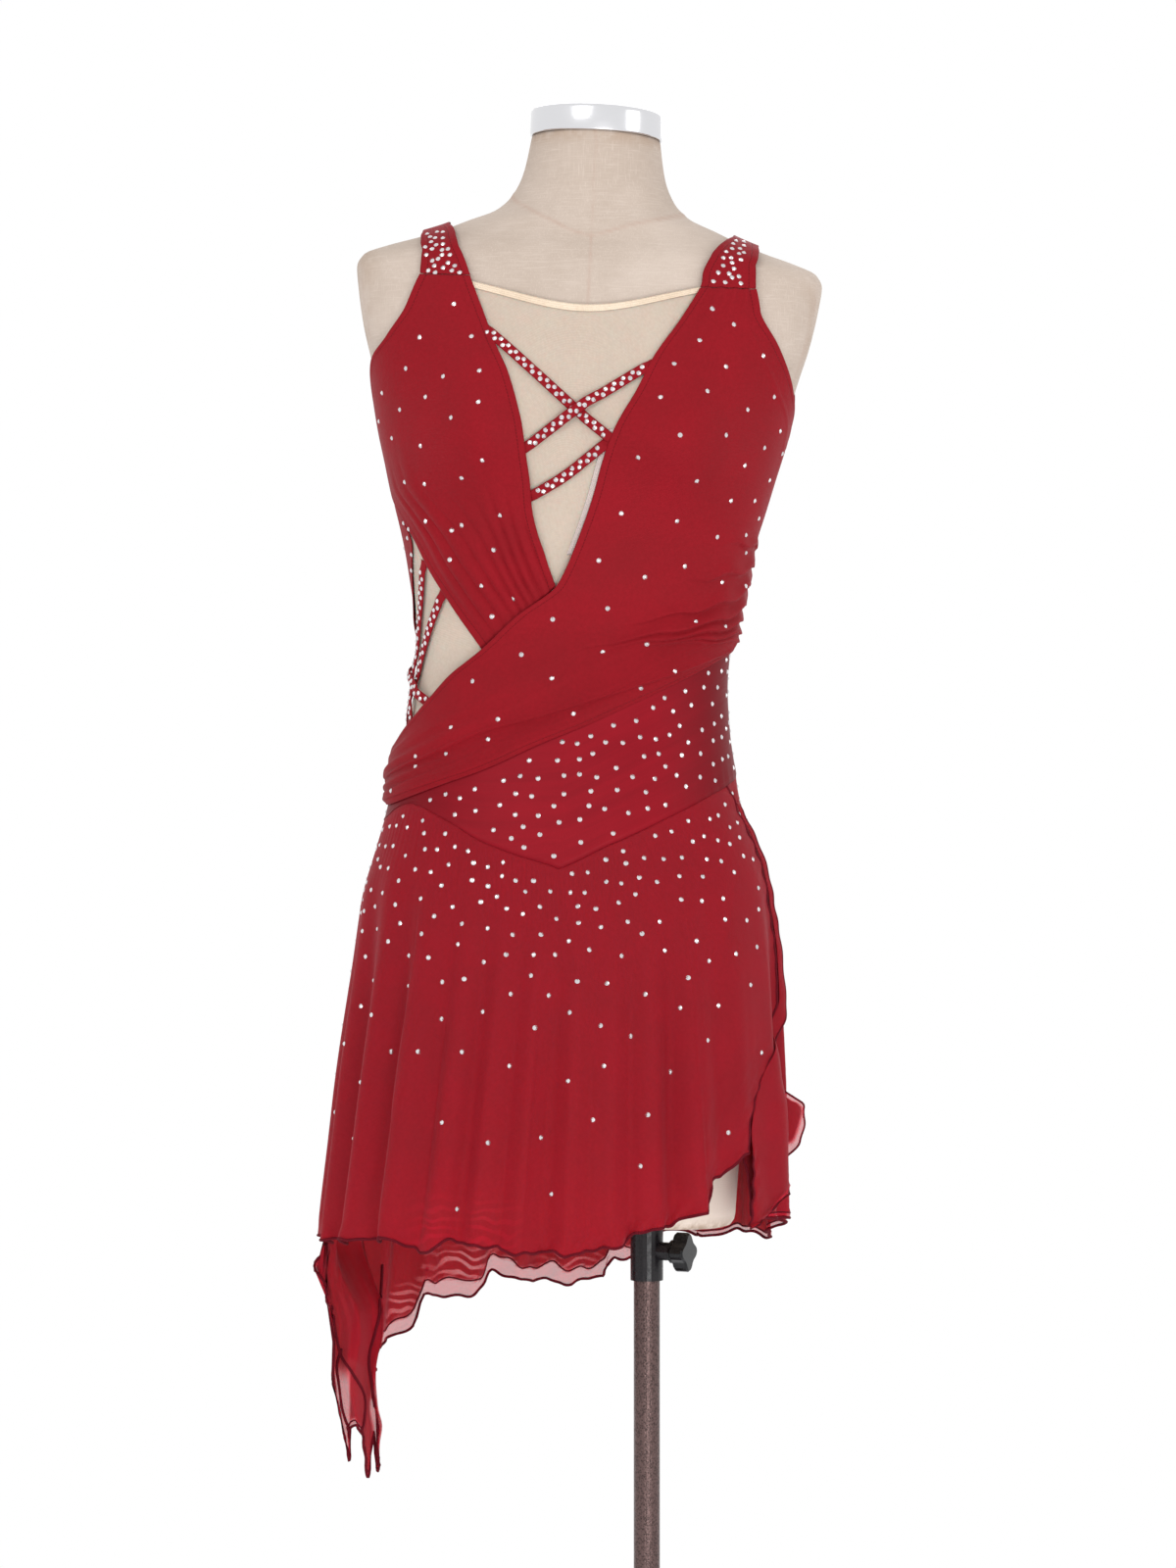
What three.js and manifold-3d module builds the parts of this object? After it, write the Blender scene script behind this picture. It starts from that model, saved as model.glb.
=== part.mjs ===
// A lyrical dance dress worn by a limbless dress form on a pole stand. Millimetres, +Z up.
// The origin is on the floor, on the pole's axis. The dress faces -Y, and +X is the wearer's left.
// The form and the dress share one frame of their own, which leans a little to +X over the pole.
// In that frame a point is given by its angle round the body and its level above the waist:
// 0 degrees is the wearer's left side, 90 the front, 180 the right side and 270 the back.
import * as THREE from "three";
import Module from "manifold-3d";
import { mergeVertices } from "three/addons/utils/BufferGeometryUtils.js";

const wasm = await Module();
wasm.setup();

// ---------------------------------------------------------------- driving dimensions
const LEAN = THREE.MathUtils.degToRad(2.7); // the form leans this far to +X
const WAIST = { x: -58.5, z: 1053 }; // where the form's own axis crosses the waist
const GAP = 0.3; // between pieces that touch
const CLOTH = 1; // wall of every cut piece
const LAYER = CLOTH + 1.1; // from one layer of cloth to the next
const NUDE_OFFSET = 0.3; // each layer's inner face above the form
const RED_OFFSET = NUDE_OFFSET + LAYER;
const WRAP_OFFSET = RED_OFFSET + LAYER;
const UNDER = 1.2; // how far the solid form lies under the surface that the cloth is laid out on
const BUST = { out: 76, level: 182, rise: 21, width: 42, above: 52, below: 34 };
const NOTCH = { top: -285, full: -360, depth: 0.72, width: 17 }; // parts the form's lower end in two
const POLE = { radius: 10, top: 880, foot: 12 };
const SLEEVE = { radius: 12.5, bottom: 598.5, top: 770 };
const BORE = { radius: SLEEVE.radius + GAP, top: 1045 };
const BASE = { radius: 180, edge: 6, hub: 19, hubTop: 62 };
const KNOB = {
  level: 621, turn: 25, boss: 7, bossEnd: 20, stem: 3.6, start: 24, thick: 12, radius: 15, lobes: 4,
};
const CAP = { radius: 50.5, bottom: 418 + GAP, height: 20, button: 4.2, buttonRise: 3 };

// ---------------------------------------------------------------- tables and curves
/** Rows of numbers with named columns, as an array of objects. */
const table = (columns, rows) =>
  rows.map((row) => Object.fromEntries(columns.split(" ").map((name, i) => [name, row[i]])));

/** A smooth curve through y(x) that never overshoots its rows; x rises. */
function curve(rows, x, y) {
  const xs = rows.map((r) => r[x]);
  const ys = rows.map((r) => r[y]);
  const step = xs.slice(1).map((v, i) => v - xs[i]);
  const rise = step.map((h, i) => (ys[i + 1] - ys[i]) / h);
  const slope = ys.map((_, i) => {
    if (i === 0) return rise[0];
    if (i === ys.length - 1) return rise[i - 1];
    if (rise[i - 1] * rise[i] <= 0) return 0;
    const before = 2 * step[i] + step[i - 1];
    const after = step[i] + 2 * step[i - 1];
    return (before + after) / (before / rise[i - 1] + after / rise[i]);
  });
  return (v) => {
    const c = Math.min(Math.max(v, xs[0]), xs[xs.length - 1]);
    let i = 0;
    while (i < step.length - 1 && c > xs[i + 1]) i++;
    const t = (c - xs[i]) / step[i];
    const u = 1 - t;
    return (
      (1 + 2 * t) * u * u * ys[i] + t * u * u * step[i] * slope[i] +
      t * t * (3 - 2 * t) * ys[i + 1] - t * t * u * step[i] * slope[i + 1]
    );
  };
}

/** One curve for each column but the first, which is what they run along. */
function curves(columns, rows) {
  const [along, ...rest] = columns.split(" ");
  const named = table(columns, rows).sort((a, b) => a[along] - b[along]);
  return Object.fromEntries(rest.map((name) => [name, curve(named, along, name)]));
}

const smooth = (x, from, to) => THREE.MathUtils.smoothstep((x - from) / (to - from), 0, 1);
const mix = (a, b, t) => a + (b - a) * t;
const radians = THREE.MathUtils.degToRad;

// ---------------------------------------------------------------- the form's surface
// Each section is half as wide as `side`, reaches `front` and `back` of the side seam, and `power` squares it.
const SECTION = curves("level side front back power", [
  [420, 50, 57, 43, 2.0], [390, 55.5, 55, 52, 2.0], [373, 63, 56, 59, 2.05], [361, 75, 58, 64, 2.1],
  [351, 98, 61, 69, 2.2], [344, 114, 63, 72, 2.25], [336, 136, 66, 76, 2.4], [329, 158, 70, 80, 2.5],
  [322, 174, 73, 84, 2.7], [312, 179, 77, 87, 2.8], [295, 177, 83, 91, 2.8], [268, 172, 90, 96, 2.8],
  [235, 163, 97, 99, 2.6], [212, 157.5, 99, 100, 2.5], [190, 153, 100, 99, 2.45], [165, 146.5, 98, 97, 2.4],
  [140, 140, 96, 94, 2.35], [115, 132, 92, 90, 2.3], [90, 126, 89, 84, 2.25], [50, 119.5, 85, 78, 2.2],
  [10, 117, 84, 77, 2.2], [-30, 120.5, 86, 83, 2.2], [-60, 126, 90, 92, 2.2], [-90, 130.5, 93, 102, 2.25],
  [-120, 136, 96, 110, 2.3], [-155, 142, 98, 115, 2.3], [-200, 146, 98, 115, 2.3], [-250, 147.5, 96, 108, 2.35],
  [-320, 147.5, 92, 98, 2.4], [-405, 146, 86, 90, 2.45],
]);

/** The corner-rounded oval at an angle: x to the side and y to the back. */
function oval(angle, side, front, back, power) {
  const c = Math.cos(radians(angle));
  const s = Math.sin(radians(angle));
  const depth = s >= 0 ? front : back;
  const reach = ((Math.abs(c) / side) ** power + (Math.abs(s) / depth) ** power) ** (-1 / power);
  return { x: reach * c, y: -reach * s };
}

/** A point of the form at an angle and a level, in the form's frame. */
function formPoint(angle, level) {
  const { side, front, back, power } = SECTION;
  const p = oval(angle, side(level), front(level), back(level), power(level));
  if (p.y < 0) {
    const spread = level > BUST.level ? BUST.above : BUST.below;
    const across = (Math.abs(p.x) - BUST.out) / BUST.width;
    p.y -= BUST.rise * Math.exp(-(across ** 2) - ((level - BUST.level) / spread) ** 2) * smooth(-p.y, 0, 40);
  }
  return new THREE.Vector3(p.x, p.y, level);
}

/** The lower end's groove, front and back, which parts it in two. */
function groove(p, level) {
  const cut = NOTCH.depth * smooth(-level, -NOTCH.top, -NOTCH.full);
  p.y *= 1 - cut * Math.exp(-((p.x / (2 * NOTCH.width)) ** 2));
  return p;
}

/** The outward normal of a surface point(angle, level), by differences. */
function normalOf(point, angle, level) {
  const d = 0.4;
  const round = point(angle + d, level).sub(point(angle - d, level));
  const up = point(angle, level + d).sub(point(angle, level - d));
  return up.cross(round).normalize();
}

// ---------------------------------------------------------------- closed walls
/** A closed geometry from shared corners and triangles, turned so that it faces out. */
function closed(corners, triangles) {
  const v = (i) => corners[i];
  let volume = 0;
  for (const [a, b, c] of triangles) volume += v(a).dot(v(b).clone().cross(v(c)));
  const facing = volume < 0 ? triangles.map(([a, b, c]) => [a, c, b]) : triangles;
  const geometry = new THREE.BufferGeometry();
  geometry.setAttribute("position", new THREE.Float32BufferAttribute(corners.flatMap((p) => p.toArray()), 3));
  geometry.setIndex(facing.flat());
  return geometry;
}

/**
 * A wall of cloth over a grid. face(s, t, height) gives the point of the sheet at s across
 * and t along, raised by a height; the wall lies between two heights.
 */
function wall(columns, rows, face, inner, outer) {
  const corners = [];
  const index = (side, i, j) => (side * (rows + 1) + j) * (columns + 1) + i;
  for (const height of [inner, outer])
    for (let j = 0; j <= rows; j++)
      for (let i = 0; i <= columns; i++) corners.push(face(i / columns, j / rows, height));
  const triangles = [];
  const long = (i, j) => corners[i].distanceTo(corners[j]);
  // Each four-sided cell is split along its shorter diagonal, so that slanted cells stay on the surface.
  const quad = (a, b, c, d) =>
    long(a, c) <= long(b, d) ? triangles.push([a, b, c], [a, c, d]) : triangles.push([b, c, d], [b, d, a]);
  for (let j = 0; j < rows; j++)
    for (let i = 0; i < columns; i++) {
      quad(index(1, i, j), index(1, i + 1, j), index(1, i + 1, j + 1), index(1, i, j + 1));
      quad(index(0, i, j), index(0, i, j + 1), index(0, i + 1, j + 1), index(0, i + 1, j));
    }
  for (let i = 0; i < columns; i++) {
    quad(index(0, i, 0), index(0, i + 1, 0), index(1, i + 1, 0), index(1, i, 0));
    quad(index(0, i + 1, rows), index(0, i, rows), index(1, i, rows), index(1, i + 1, rows));
  }
  for (let j = 0; j < rows; j++) {
    quad(index(0, 0, j + 1), index(0, 0, j), index(1, 0, j), index(1, 0, j + 1));
    quad(index(0, columns, j), index(0, columns, j + 1), index(1, columns, j + 1), index(1, columns, j));
  }
  return closed(corners, triangles);
}

/** A point at a height above a surface. */
const above = (surface, angle, level, height) =>
  surface(angle, level).addScaledVector(normalOf(surface, angle, level), height);

/**
 * A wall lying on the form between two edges, each a curve of angle and level along t.
 * relief(s, t) raises it, and sag(s, t, angle) moves its points up or down the form. A crowd
 * over 1 puts more columns near the first edge, and a pace under 1 more rows near the end.
 */
function fitted(columns, rows, edges, offset, options = {}) {
  const { relief = () => 0, sag = () => 0, crowd = 1, pace = 1 } = options;
  const face = (column, row, height) => {
    const s = column ** crowd;
    const t = row ** pace;
    const angle = mix(edges.a(t), edges.b(t), s);
    const level = mix(edges.aLevel(t), edges.bLevel(t), s) + sag(s, t, angle);
    return above(formPoint, angle, level, height + relief(s, t));
  };
  return wall(columns, rows, face, offset, offset + CLOTH);
}

// ---------------------------------------------------------------- materials and nodes
const paint = (color, roughness, metalness = 0, opacity = 1) =>
  new THREE.MeshStandardMaterial({ color, roughness, metalness, opacity, transparent: opacity < 1 });
const RED = paint(0x8f1722, 0.7);
const SATIN = paint(0x7a1220, 0.4);
const MESH_RED = paint(0x951a26, 0.75, 0, 0.9);
const NUDE = paint(0xe6d2bd, 0.8);
const LINEN = paint(0xd9cfc0, 0.9);
const CHROME = paint(0xc8c8cc, 0.15, 1);
const BLACK = paint(0x141414, 0.4);
const BRONZE = paint(0x4b3d36, 0.5, 0.4);

const stand = new THREE.Group();
const worn = new THREE.Group();
worn.position.set(WAIST.x, 0, WAIST.z);
worn.rotation.y = LEAN;

function add(group, name, geometry, material) {
  const mesh = new THREE.Mesh(geometry, material);
  mesh.name = name;
  group.add(mesh);
  return mesh;
}

// ---------------------------------------------------------------- booleans
function toSolid(geometry) {
  const bare = new THREE.BufferGeometry().setAttribute("position", geometry.getAttribute("position").clone());
  if (geometry.index) bare.setIndex(geometry.index.clone());
  const merged = mergeVertices(bare, 1e-4);
  return new wasm.Manifold(
    new wasm.Mesh({
      numProp: 3,
      vertProperties: merged.attributes.position.array,
      triVerts: new Uint32Array(merged.index.array),
    }),
  );
}

function fromSolid(solid) {
  const mesh = solid.getMesh();
  const geometry = new THREE.BufferGeometry();
  geometry.setAttribute("position", new THREE.Float32BufferAttribute(mesh.vertProperties, 3));
  geometry.setIndex(new THREE.Uint32BufferAttribute(mesh.triVerts, 1));
  return geometry;
}

/** An upright cylinder between two heights on the pole's axis. */
function uprightCylinder(radius, bottom, top, sides = 24) {
  const geometry = new THREE.CylinderGeometry(radius, radius, top - bottom, sides);
  return geometry.rotateX(Math.PI / 2).translate(0, 0, (top + bottom) / 2);
}

// ---------------------------------------------------------------- stand
function basePlate() {
  const bore = POLE.radius + GAP;
  const profile = [
    [0, 0], [BASE.radius, 0], [BASE.radius, BASE.edge], [BASE.radius - 12, BASE.edge + 4], [60, BASE.edge + 9],
    [BASE.hub, BASE.edge + 14], [BASE.hub, BASE.hubTop], [bore, BASE.hubTop], [bore, POLE.foot - GAP],
    [0, POLE.foot - GAP],
  ].map(([x, y]) => new THREE.Vector2(x, y));
  return new THREE.LatheGeometry(profile, 32).rotateX(Math.PI / 2);
}

/** A cylinder along +X, whose far end has the first radius. */
const lyingCylinder = (far, near, length, sides) =>
  new THREE.CylinderGeometry(far, near, length, sides).rotateZ(-Math.PI / 2);

/** Turns a shape drawn along +X towards the knob's direction, at its level. */
const towardsKnob = (geometry) => geometry.rotateZ(radians(-KNOB.turn)).translate(0, 0, KNOB.level);

function clampSleeve() {
  const outer = toSolid(uprightCylinder(SLEEVE.radius, SLEEVE.bottom, SLEEVE.top));
  const boss = lyingCylinder(KNOB.boss, KNOB.boss, KNOB.bossEnd - 4, 16);
  const thread = lyingCylinder(KNOB.stem + GAP, KNOB.stem + GAP, KNOB.bossEnd, 12);
  const bossAt = towardsKnob(boss.translate((KNOB.bossEnd + 4) / 2, 0, 0));
  const threadAt = towardsKnob(thread.translate(KNOB.bossEnd / 2 + 5, 0, 0));
  const bore = toSolid(uprightCylinder(POLE.radius + GAP, SLEEVE.bottom - 5, SLEEVE.top + 5));
  return fromSolid(outer.add(toSolid(bossAt)).subtract(bore).subtract(toSolid(threadAt)));
}

function clampKnob() {
  const points = [];
  const count = 8 * KNOB.lobes;
  for (let i = 0; i < count; i++) {
    const angle = (i / count) * 2 * Math.PI;
    const reach = KNOB.radius * (0.86 + 0.14 * Math.cos(KNOB.lobes * angle));
    points.push(new THREE.Vector2(reach * Math.cos(angle), reach * Math.sin(angle)));
  }
  const star = new THREE.ExtrudeGeometry(new THREE.Shape(points), {
    depth: KNOB.thick - 3, bevelEnabled: true, bevelThickness: 1.5, bevelSize: 1.2, bevelOffset: -1.2,
    bevelSegments: 1,
  });
  star.rotateY(Math.PI / 2).translate(KNOB.start + 1.5, 0, 0);
  const stemStart = POLE.radius + GAP + 0.3;
  const stem = lyingCylinder(KNOB.stem, KNOB.stem, KNOB.start + 3 - stemStart, 12);
  stem.translate((KNOB.start + 3 + stemStart) / 2, 0, 0);
  const collar = lyingCylinder(KNOB.boss, KNOB.boss + 2, 5, 16);
  collar.translate(KNOB.start - 0.5, 0, 0);
  return towardsKnob(fromSolid(toSolid(star).add(toSolid(stem)).add(toSolid(collar))));
}

add(stand, "base_plate", basePlate(), BLACK);
add(stand, "pole", uprightCylinder(POLE.radius, POLE.foot, POLE.top, 32), BRONZE);
add(stand, "clamp_sleeve", clampSleeve(), BLACK);
add(stand, "clamp_knob", clampKnob(), BLACK);

// ---------------------------------------------------------------- dress form
function dressForm() {
  const round = 36;
  const levels = [
    418, 400, 383, 368, 357, 349, 342, 335, 328, 320, 306, 284, 260, 236, 214, 195, 178, 160, 140, 116, 92, 70,
    48, 26, 4, -18, -42, -70, -110, -170, -240, -290, -325, -360, -398,
  ];
  const corners = levels.flatMap((level) =>
    Array.from({ length: round }, (_, i) => groove(above(formPoint, (i * 360) / round, level, -UNDER), level)),
  );
  // The lower edge turns in through two smaller rings before the flat end.
  for (const [level, shrink] of [[-404, 0.975], [-406, 0.93]])
    for (let i = 0; i < round; i++) {
      const p = groove(above(formPoint, (i * 360) / round, level, -UNDER), level);
      corners.push(new THREE.Vector3(p.x * shrink, p.y * shrink, level));
    }
  const rings = levels.length + 2;
  const triangles = [];
  for (let j = 0; j < rings - 1; j++)
    for (let i = 0; i < round; i++) {
      const k = (i + 1) % round;
      const [a, b, c, d] = [j * round + i, j * round + k, (j + 1) * round + k, (j + 1) * round + i];
      triangles.push([a, b, c], [a, c, d]);
    }
  const top = corners.push(new THREE.Vector3(0, -7, levels[0])) - 1;
  const bottom = corners.push(new THREE.Vector3(0, 0, -406)) - 1;
  for (let i = 0; i < round; i++) {
    const k = (i + 1) % round;
    triangles.push([top, k, i], [bottom, (rings - 1) * round + i, (rings - 1) * round + k]);
  }
  worn.updateMatrixWorld(true);
  const bore = uprightCylinder(BORE.radius, 600, BORE.top, 20).applyMatrix4(worn.matrixWorld.clone().invert());
  return fromSolid(toSolid(closed(corners, triangles)).subtract(toSolid(bore)));
}

function neckCap() {
  const r = CAP.radius;
  const profile = [[0, 0], [r - 1, 0], [r, 1], [r, CAP.height - 1.5], [r - 1.5, CAP.height], [0, CAP.height]];
  const points = profile.map(([x, y]) => new THREE.Vector2(x, y));
  return new THREE.LatheGeometry(points, 32).rotateX(Math.PI / 2).translate(0, -7, CAP.bottom);
}

function capButton() {
  const r = CAP.button;
  const profile = [[0, 0], [r, 0], [r, 1], [r * 0.7, CAP.buttonRise * 0.8], [0, CAP.buttonRise]];
  const points = profile.map(([x, y]) => new THREE.Vector2(x, y));
  const base = CAP.bottom + CAP.height + GAP;
  return new THREE.LatheGeometry(points, 12).rotateX(Math.PI / 2).translate(0, -7, base);
}

add(worn, "form_body", dressForm(), LINEN);
add(worn, "neck_cap", neckCap(), CHROME);
add(worn, "cap_button", capButton(), BLACK);

// ---------------------------------------------------------------- bodice
const EDGE = "t a aLevel b bLevel";

// Right front: armhole, side seam and cut-out edge (a), neck edge (b), strap seam down to the gathered seam.
const FRONT_RIGHT = curves(EDGE, [
  [0, 151, 301, 139, 300.4], [0.1, 153, 276, 133, 277], [0.2, 158, 255, 127, 252], [0.3, 168, 237, 121, 228],
  [0.42, 178, 206, 117, 204], [0.48, 181, 190, 115, 190], [0.56, 181, 168, 113, 167], [0.64, 179, 146, 111, 147],
  [0.72, 170, 126, 110, 128], [0.8, 162, 106, 108, 112], [0.87, 156, 84, 105, 98], [0.94, 146, 55, 102, 84],
  [1, 132, 22, 99, 72],
]);

// Gathers that fan up from the wrap seam, as waves that die away above.
const gathers = (count, height, from) => (s, t) =>
  height * smooth(t, from, 0.88) * (1 - smooth(t, 0.92, 1)) * (1 - Math.cos(2 * Math.PI * count * s)) * 0.5;

// Left front and wrap: armhole, side seam and lower edge (a); neck edge, then the edge to the right hip (b).
const FRONT_LEFT = curves(EDGE, [
  [0, 29, 301, 41, 300.4], [0.08, 29, 285, 54, 272], [0.16, 24, 258, 62, 243], [0.23, 14, 229, 68, 218],
  [0.3, 0, 201, 76, 190], [0.37, -2, 175, 80, 168], [0.44, -2, 147, 83, 138], [0.5, -2, 118, 87, 110],
  [0.55, -2, 92, 93, 84], [0.6, -2, 64, 99, 72], [0.66, 1, 40, 117, 48], [0.72, 20, 24, 132, 22],
  [0.78, 46, -1, 145, 2], [0.84, 76, -27, 154, -17], [0.89, 103, -47, 163, -35], [0.94, 135, -75, 174, -52],
  [1, 183, -104, 184, -62],
]);

// It lies level with the other panels down to the neck's point, then passes over the belt and the right front.
const wrapLift = (t) => (WRAP_OFFSET + 0.9 - RED_OFFSET) * smooth(t, 0.44, 0.57) + 0.7 * smooth(t, 0.82, 0.9);

// Ruching at the left side seam, spent before the panel's middle, and the long tuck along the lower edge.
function wrapFolds(s, t) {
  const ruche = smooth(t, 0.42, 0.5) * (1 - smooth(t, 0.6, 0.68)) * (1 - smooth(s, 0, 0.3));
  const tuck = smooth(t, 0.6, 0.72) * (1 - smooth(Math.abs(s - 0.3), 0.02, 0.16));
  const hip = smooth(t, 0.86, 1) * Math.abs(Math.sin(2.5 * Math.PI * s));
  return wrapLift(t) + 3.2 * ruche * Math.abs(Math.sin(2 * Math.PI * 14 * t)) + 1.4 * tuck + 1.2 * hip;
}

// The belt: lower seam (a), pointed at the front; upper edge (b), under the wrap and level at the back.
const BELT = curves("angle low high", [
  [0, -59, 55], [12, -66, 46], [25, -75, 30], [42, -91, 14], [68, -117, -10], [91, -137, -28], [123, -120, -54],
  [138, -105, -66], [155, -94, -76], [162, -98, -82], [171, -106, -84], [184, -109, -70], [200, -110, -50],
  [225, -112, -10], [250, -114, 22], [270, -115, 34], [290, -112, 40], [315, -100, 46], [340, -78, 52],
  [360, -59, 55],
]);

// Shoulder straps: outer edge (a) and neck edge (b), over the shoulder from the front seam to the back seam.
const STRAP = curves(EDGE, [
  [0, 151, 301.6, 139, 301], [0.25, 153, 318, 144, 319], [0.42, 161, 334.5, 156, 339],
  [0.5, 180, 340.3, 180, 347], [0.58, 199, 334.5, 204, 339], [0.75, 207, 318, 216, 319],
  [1, 209, 301.6, 221, 301.6],
]);
const LEFT_STRAP = Object.fromEntries(
  Object.entries(STRAP).map(([name, f]) => [name, name.endsWith("Level") ? f : (t) => 180 - f(t)]),
);

// Back: right armhole, seam and cut-out edge (a); left armhole and side seam (b); split by a scooped neck.
const BACK_RIGHT_EDGE = curves("t angle level", [
  [0, 209, 301], [0.1, 205, 280], [0.2, 200, 255], [0.3, 192, 228], [0.4, 184, 202], [0.45, 182, 190],
  [0.52, 182, 168], [0.6, 180, 146], [0.67, 171, 124], [0.72, 165, 104], [0.77, 170, 82], [0.82, 178, 56],
  [0.88, 194, 24], [0.94, 212, -4], [1, 232, 5],
]);
const BACK_LEFT_EDGE = curves("t angle level", [
  [0, 331, 301], [0.1, 335, 282], [0.2, 341, 255], [0.3, 350, 228], [0.4, 357, 202], [0.45, 357.5, 190],
  [0.6, 357.5, 146], [0.75, 357.5, 108], [0.9, 357.5, 76], [1, 357.5, 57],
]);
const BACK_NECK = curves("t right left level", [
  [0, 221, 319, 301], [0.12, 225, 315, 276], [0.24, 232, 308, 248], [0.36, 243, 297, 222], [0.46, 256, 284, 204],
  [0.54, 270, 270, 196],
]);
const BACK_CLOSE = 0.54; // where the two halves of the back meet under the neck

/** The back's centre line below its neck, down to the belt. */
const backCentre = (t) => mix(196, 34.8, (t - BACK_CLOSE) / (1 - BACK_CLOSE));

/** One half of the back, from its outer edge to the neck edge and then to the centre line. */
function backHalf(edge, neck, side) {
  const edges = {
    a: edge.angle,
    aLevel: edge.level,
    b: (t) => (t < BACK_CLOSE ? neck(t) : 270 + side * 0.15),
    bLevel: (t) => (t < BACK_CLOSE ? BACK_NECK.level(t) : backCentre(t)),
  };
  // The lower edge follows the top of the belt.
  const end = (s) => mix(edges.aLevel(1), edges.bLevel(1), s);
  const sag = (s, t, angle) => smooth(t, 0.75, 1) * (BELT.high(mix(edges.a(1), edges.b(1), s)) + 0.8 - end(s));
  const relief = (s) => 2.4 * (1 - smooth(s, 0.2, 0.8)); // clear of the inset round the tight curve of the side
  return fitted(10, 13, edges, RED_OFFSET, { relief, sag, crowd: 1.5 });
}

const beltEdges = {
  a: (t) => t * 359.6,
  aLevel: (t) => BELT.low(t * 359.6),
  b: (t) => t * 359.6,
  bLevel: (t) => BELT.high(t * 359.6),
};

add(worn, "front_right", fitted(12, 15, FRONT_RIGHT, RED_OFFSET, { relief: gathers(4, 2.4, 0.62) }), RED);
const wrapOptions = { relief: wrapFolds, crowd: 1.25, pace: 0.8 };
add(worn, "front_left_wrap", fitted(11, 42, FRONT_LEFT, RED_OFFSET, wrapOptions), RED);
add(worn, "strap_right", fitted(2, 16, STRAP, RED_OFFSET), RED);
add(worn, "strap_left", fitted(2, 16, LEFT_STRAP, RED_OFFSET), RED);
add(worn, "back_right", backHalf(BACK_RIGHT_EDGE, BACK_NECK.right, -1), RED);
add(worn, "back_left", backHalf(BACK_LEFT_EDGE, BACK_NECK.left, 1), RED);
add(worn, "belt", fitted(3, 58, beltEdges, RED_OFFSET), SATIN);

// Nude insets: under the neck opening, and under the cut-out at the right side.
const NUDE_FRONT = curves(EDGE, [
  [0, 140, 300, 42, 303], [0.12, 135, 277, 50, 277], [0.25, 130, 252, 58, 252], [0.4, 123, 218, 64, 218],
  [0.55, 118, 185, 73, 185], [0.7, 114, 150, 79, 145], [0.85, 111, 112, 85, 105], [1, 105, 70, 96, 66],
]);
const nudeNeck = (s, t) => -18 * Math.sin(Math.PI * s) * (1 - smooth(t, 0, 0.2));
const NUDE_SIDE = curves(EDGE, [
  [0, 156, 116, 176, 122], [0.2, 148, 90, 176, 100], [0.4, 141, 60, 187, 66], [0.6, 128, 24, 204, 30],
  [0.75, 139, -2, 220, 2], [0.88, 156, -38, 222, -24], [1, 173, -74, 210, -58],
]);
add(worn, "nude_front", fitted(10, 11, NUDE_FRONT, NUDE_OFFSET, { sag: nudeNeck }), NUDE);
add(worn, "nude_side", fitted(12, 11, NUDE_SIDE, NUDE_OFFSET), NUDE);

// Beaded laces that cross the openings: each runs through its points, and `over` is how many it passes over.
const LACE_WIDTH = 7.5;
const LACES = [
  { name: "lace_neck_right", over: 0, points: [[125, 255], [113, 232], [93, 203], [79, 185]] },
  { name: "lace_neck_left", over: 1, points: [[67, 233], [78, 220], [93, 203], [112, 175]] },
  { name: "lace_low", over: 0, points: [[82, 175], [88, 166], [98, 152], [108, 141]] },
  {
    name: "lace_side_back", over: 0,
    points: [[152, 58], [158, 38], [164, 16], [169, -4], [180, -25], [197, -46]],
  },
  { name: "lace_side_front", over: 1, points: [[160, 80], [165, 50], [169, 20], [170, -8], [168, -33]] },
  { name: "lace_side_cross", over: 2, points: [[158, -17], [162, -12], [166, -5], [185, 14], [193, 20]] },
];
const CROSSINGS = [[93, 203], [168, -5]];

/** A narrow band along its points, which rises where it passes over the others. */
function lace({ points, over }) {
  const path = new THREE.SplineCurve(points.map(([angle, level]) => new THREE.Vector2(angle, level)));
  const place = (t, height) => {
    const at = path.getPoint(t);
    const near = Math.min(...CROSSINGS.map(([angle, level]) => Math.hypot((at.x - angle) * 2, at.y - level)));
    const lift = over * LAYER * (1 - smooth(near, 12, 26));
    return above(formPoint, at.x, at.y, height + lift);
  };
  const face = (s, t, height) => {
    const at = path.getPoint(t);
    const along = place(Math.min(t + 0.01, 1), height).sub(place(Math.max(t - 0.01, 0), height));
    const across = along.cross(normalOf(formPoint, at.x, at.y)).normalize();
    return place(t, height).addScaledVector(across, (s - 0.5) * LACE_WIDTH);
  };
  return wall(1, 3 * points.length, face, RED_OFFSET, RED_OFFSET + CLOTH);
}
for (const each of LACES) add(worn, each.name, lace(each), RED);

// ---------------------------------------------------------------- skirt
// The skirt hangs in its own oval, which widens downwards; `shift` moves it to the wearer's left.
const SKIRT = curves("level side front back shift power", [
  [-40, 126, 90, 89.5, 0, 2.2], [-60, 131, 93.5, 95.5, 0, 2.2], [-90, 139.5, 97, 106, 2, 2.25],
  [-104, 144.5, 100, 111, 4, 2.25], [-130, 150, 104, 119, 5, 2.3], [-157, 156, 108, 125, 5.5, 2.3],
  [-187, 160, 112, 130, 7, 2.3], [-233, 165, 118, 137, 8, 2.3], [-308, 172, 127, 146, 8, 2.3],
  [-353, 175, 132, 151, 8, 2.3], [-430, 180, 140, 158, 8, 2.3], [-620, 184, 146, 164, 5, 2.3],
]);
// The folds' hollows all round, from the wearer's left over the front; the last closes on the first.
const HOLLOWS = [
  0, 12, 25, 39, 53, 67, 80, 93, 107, 120, 131, 147, 162, 176, 190, 206, 219, 232, 246, 260, 274, 288, 302, 316,
  330, 345, 360,
];
const FOLD = { start: -100, full: -330, depth: 7.5 };

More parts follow.
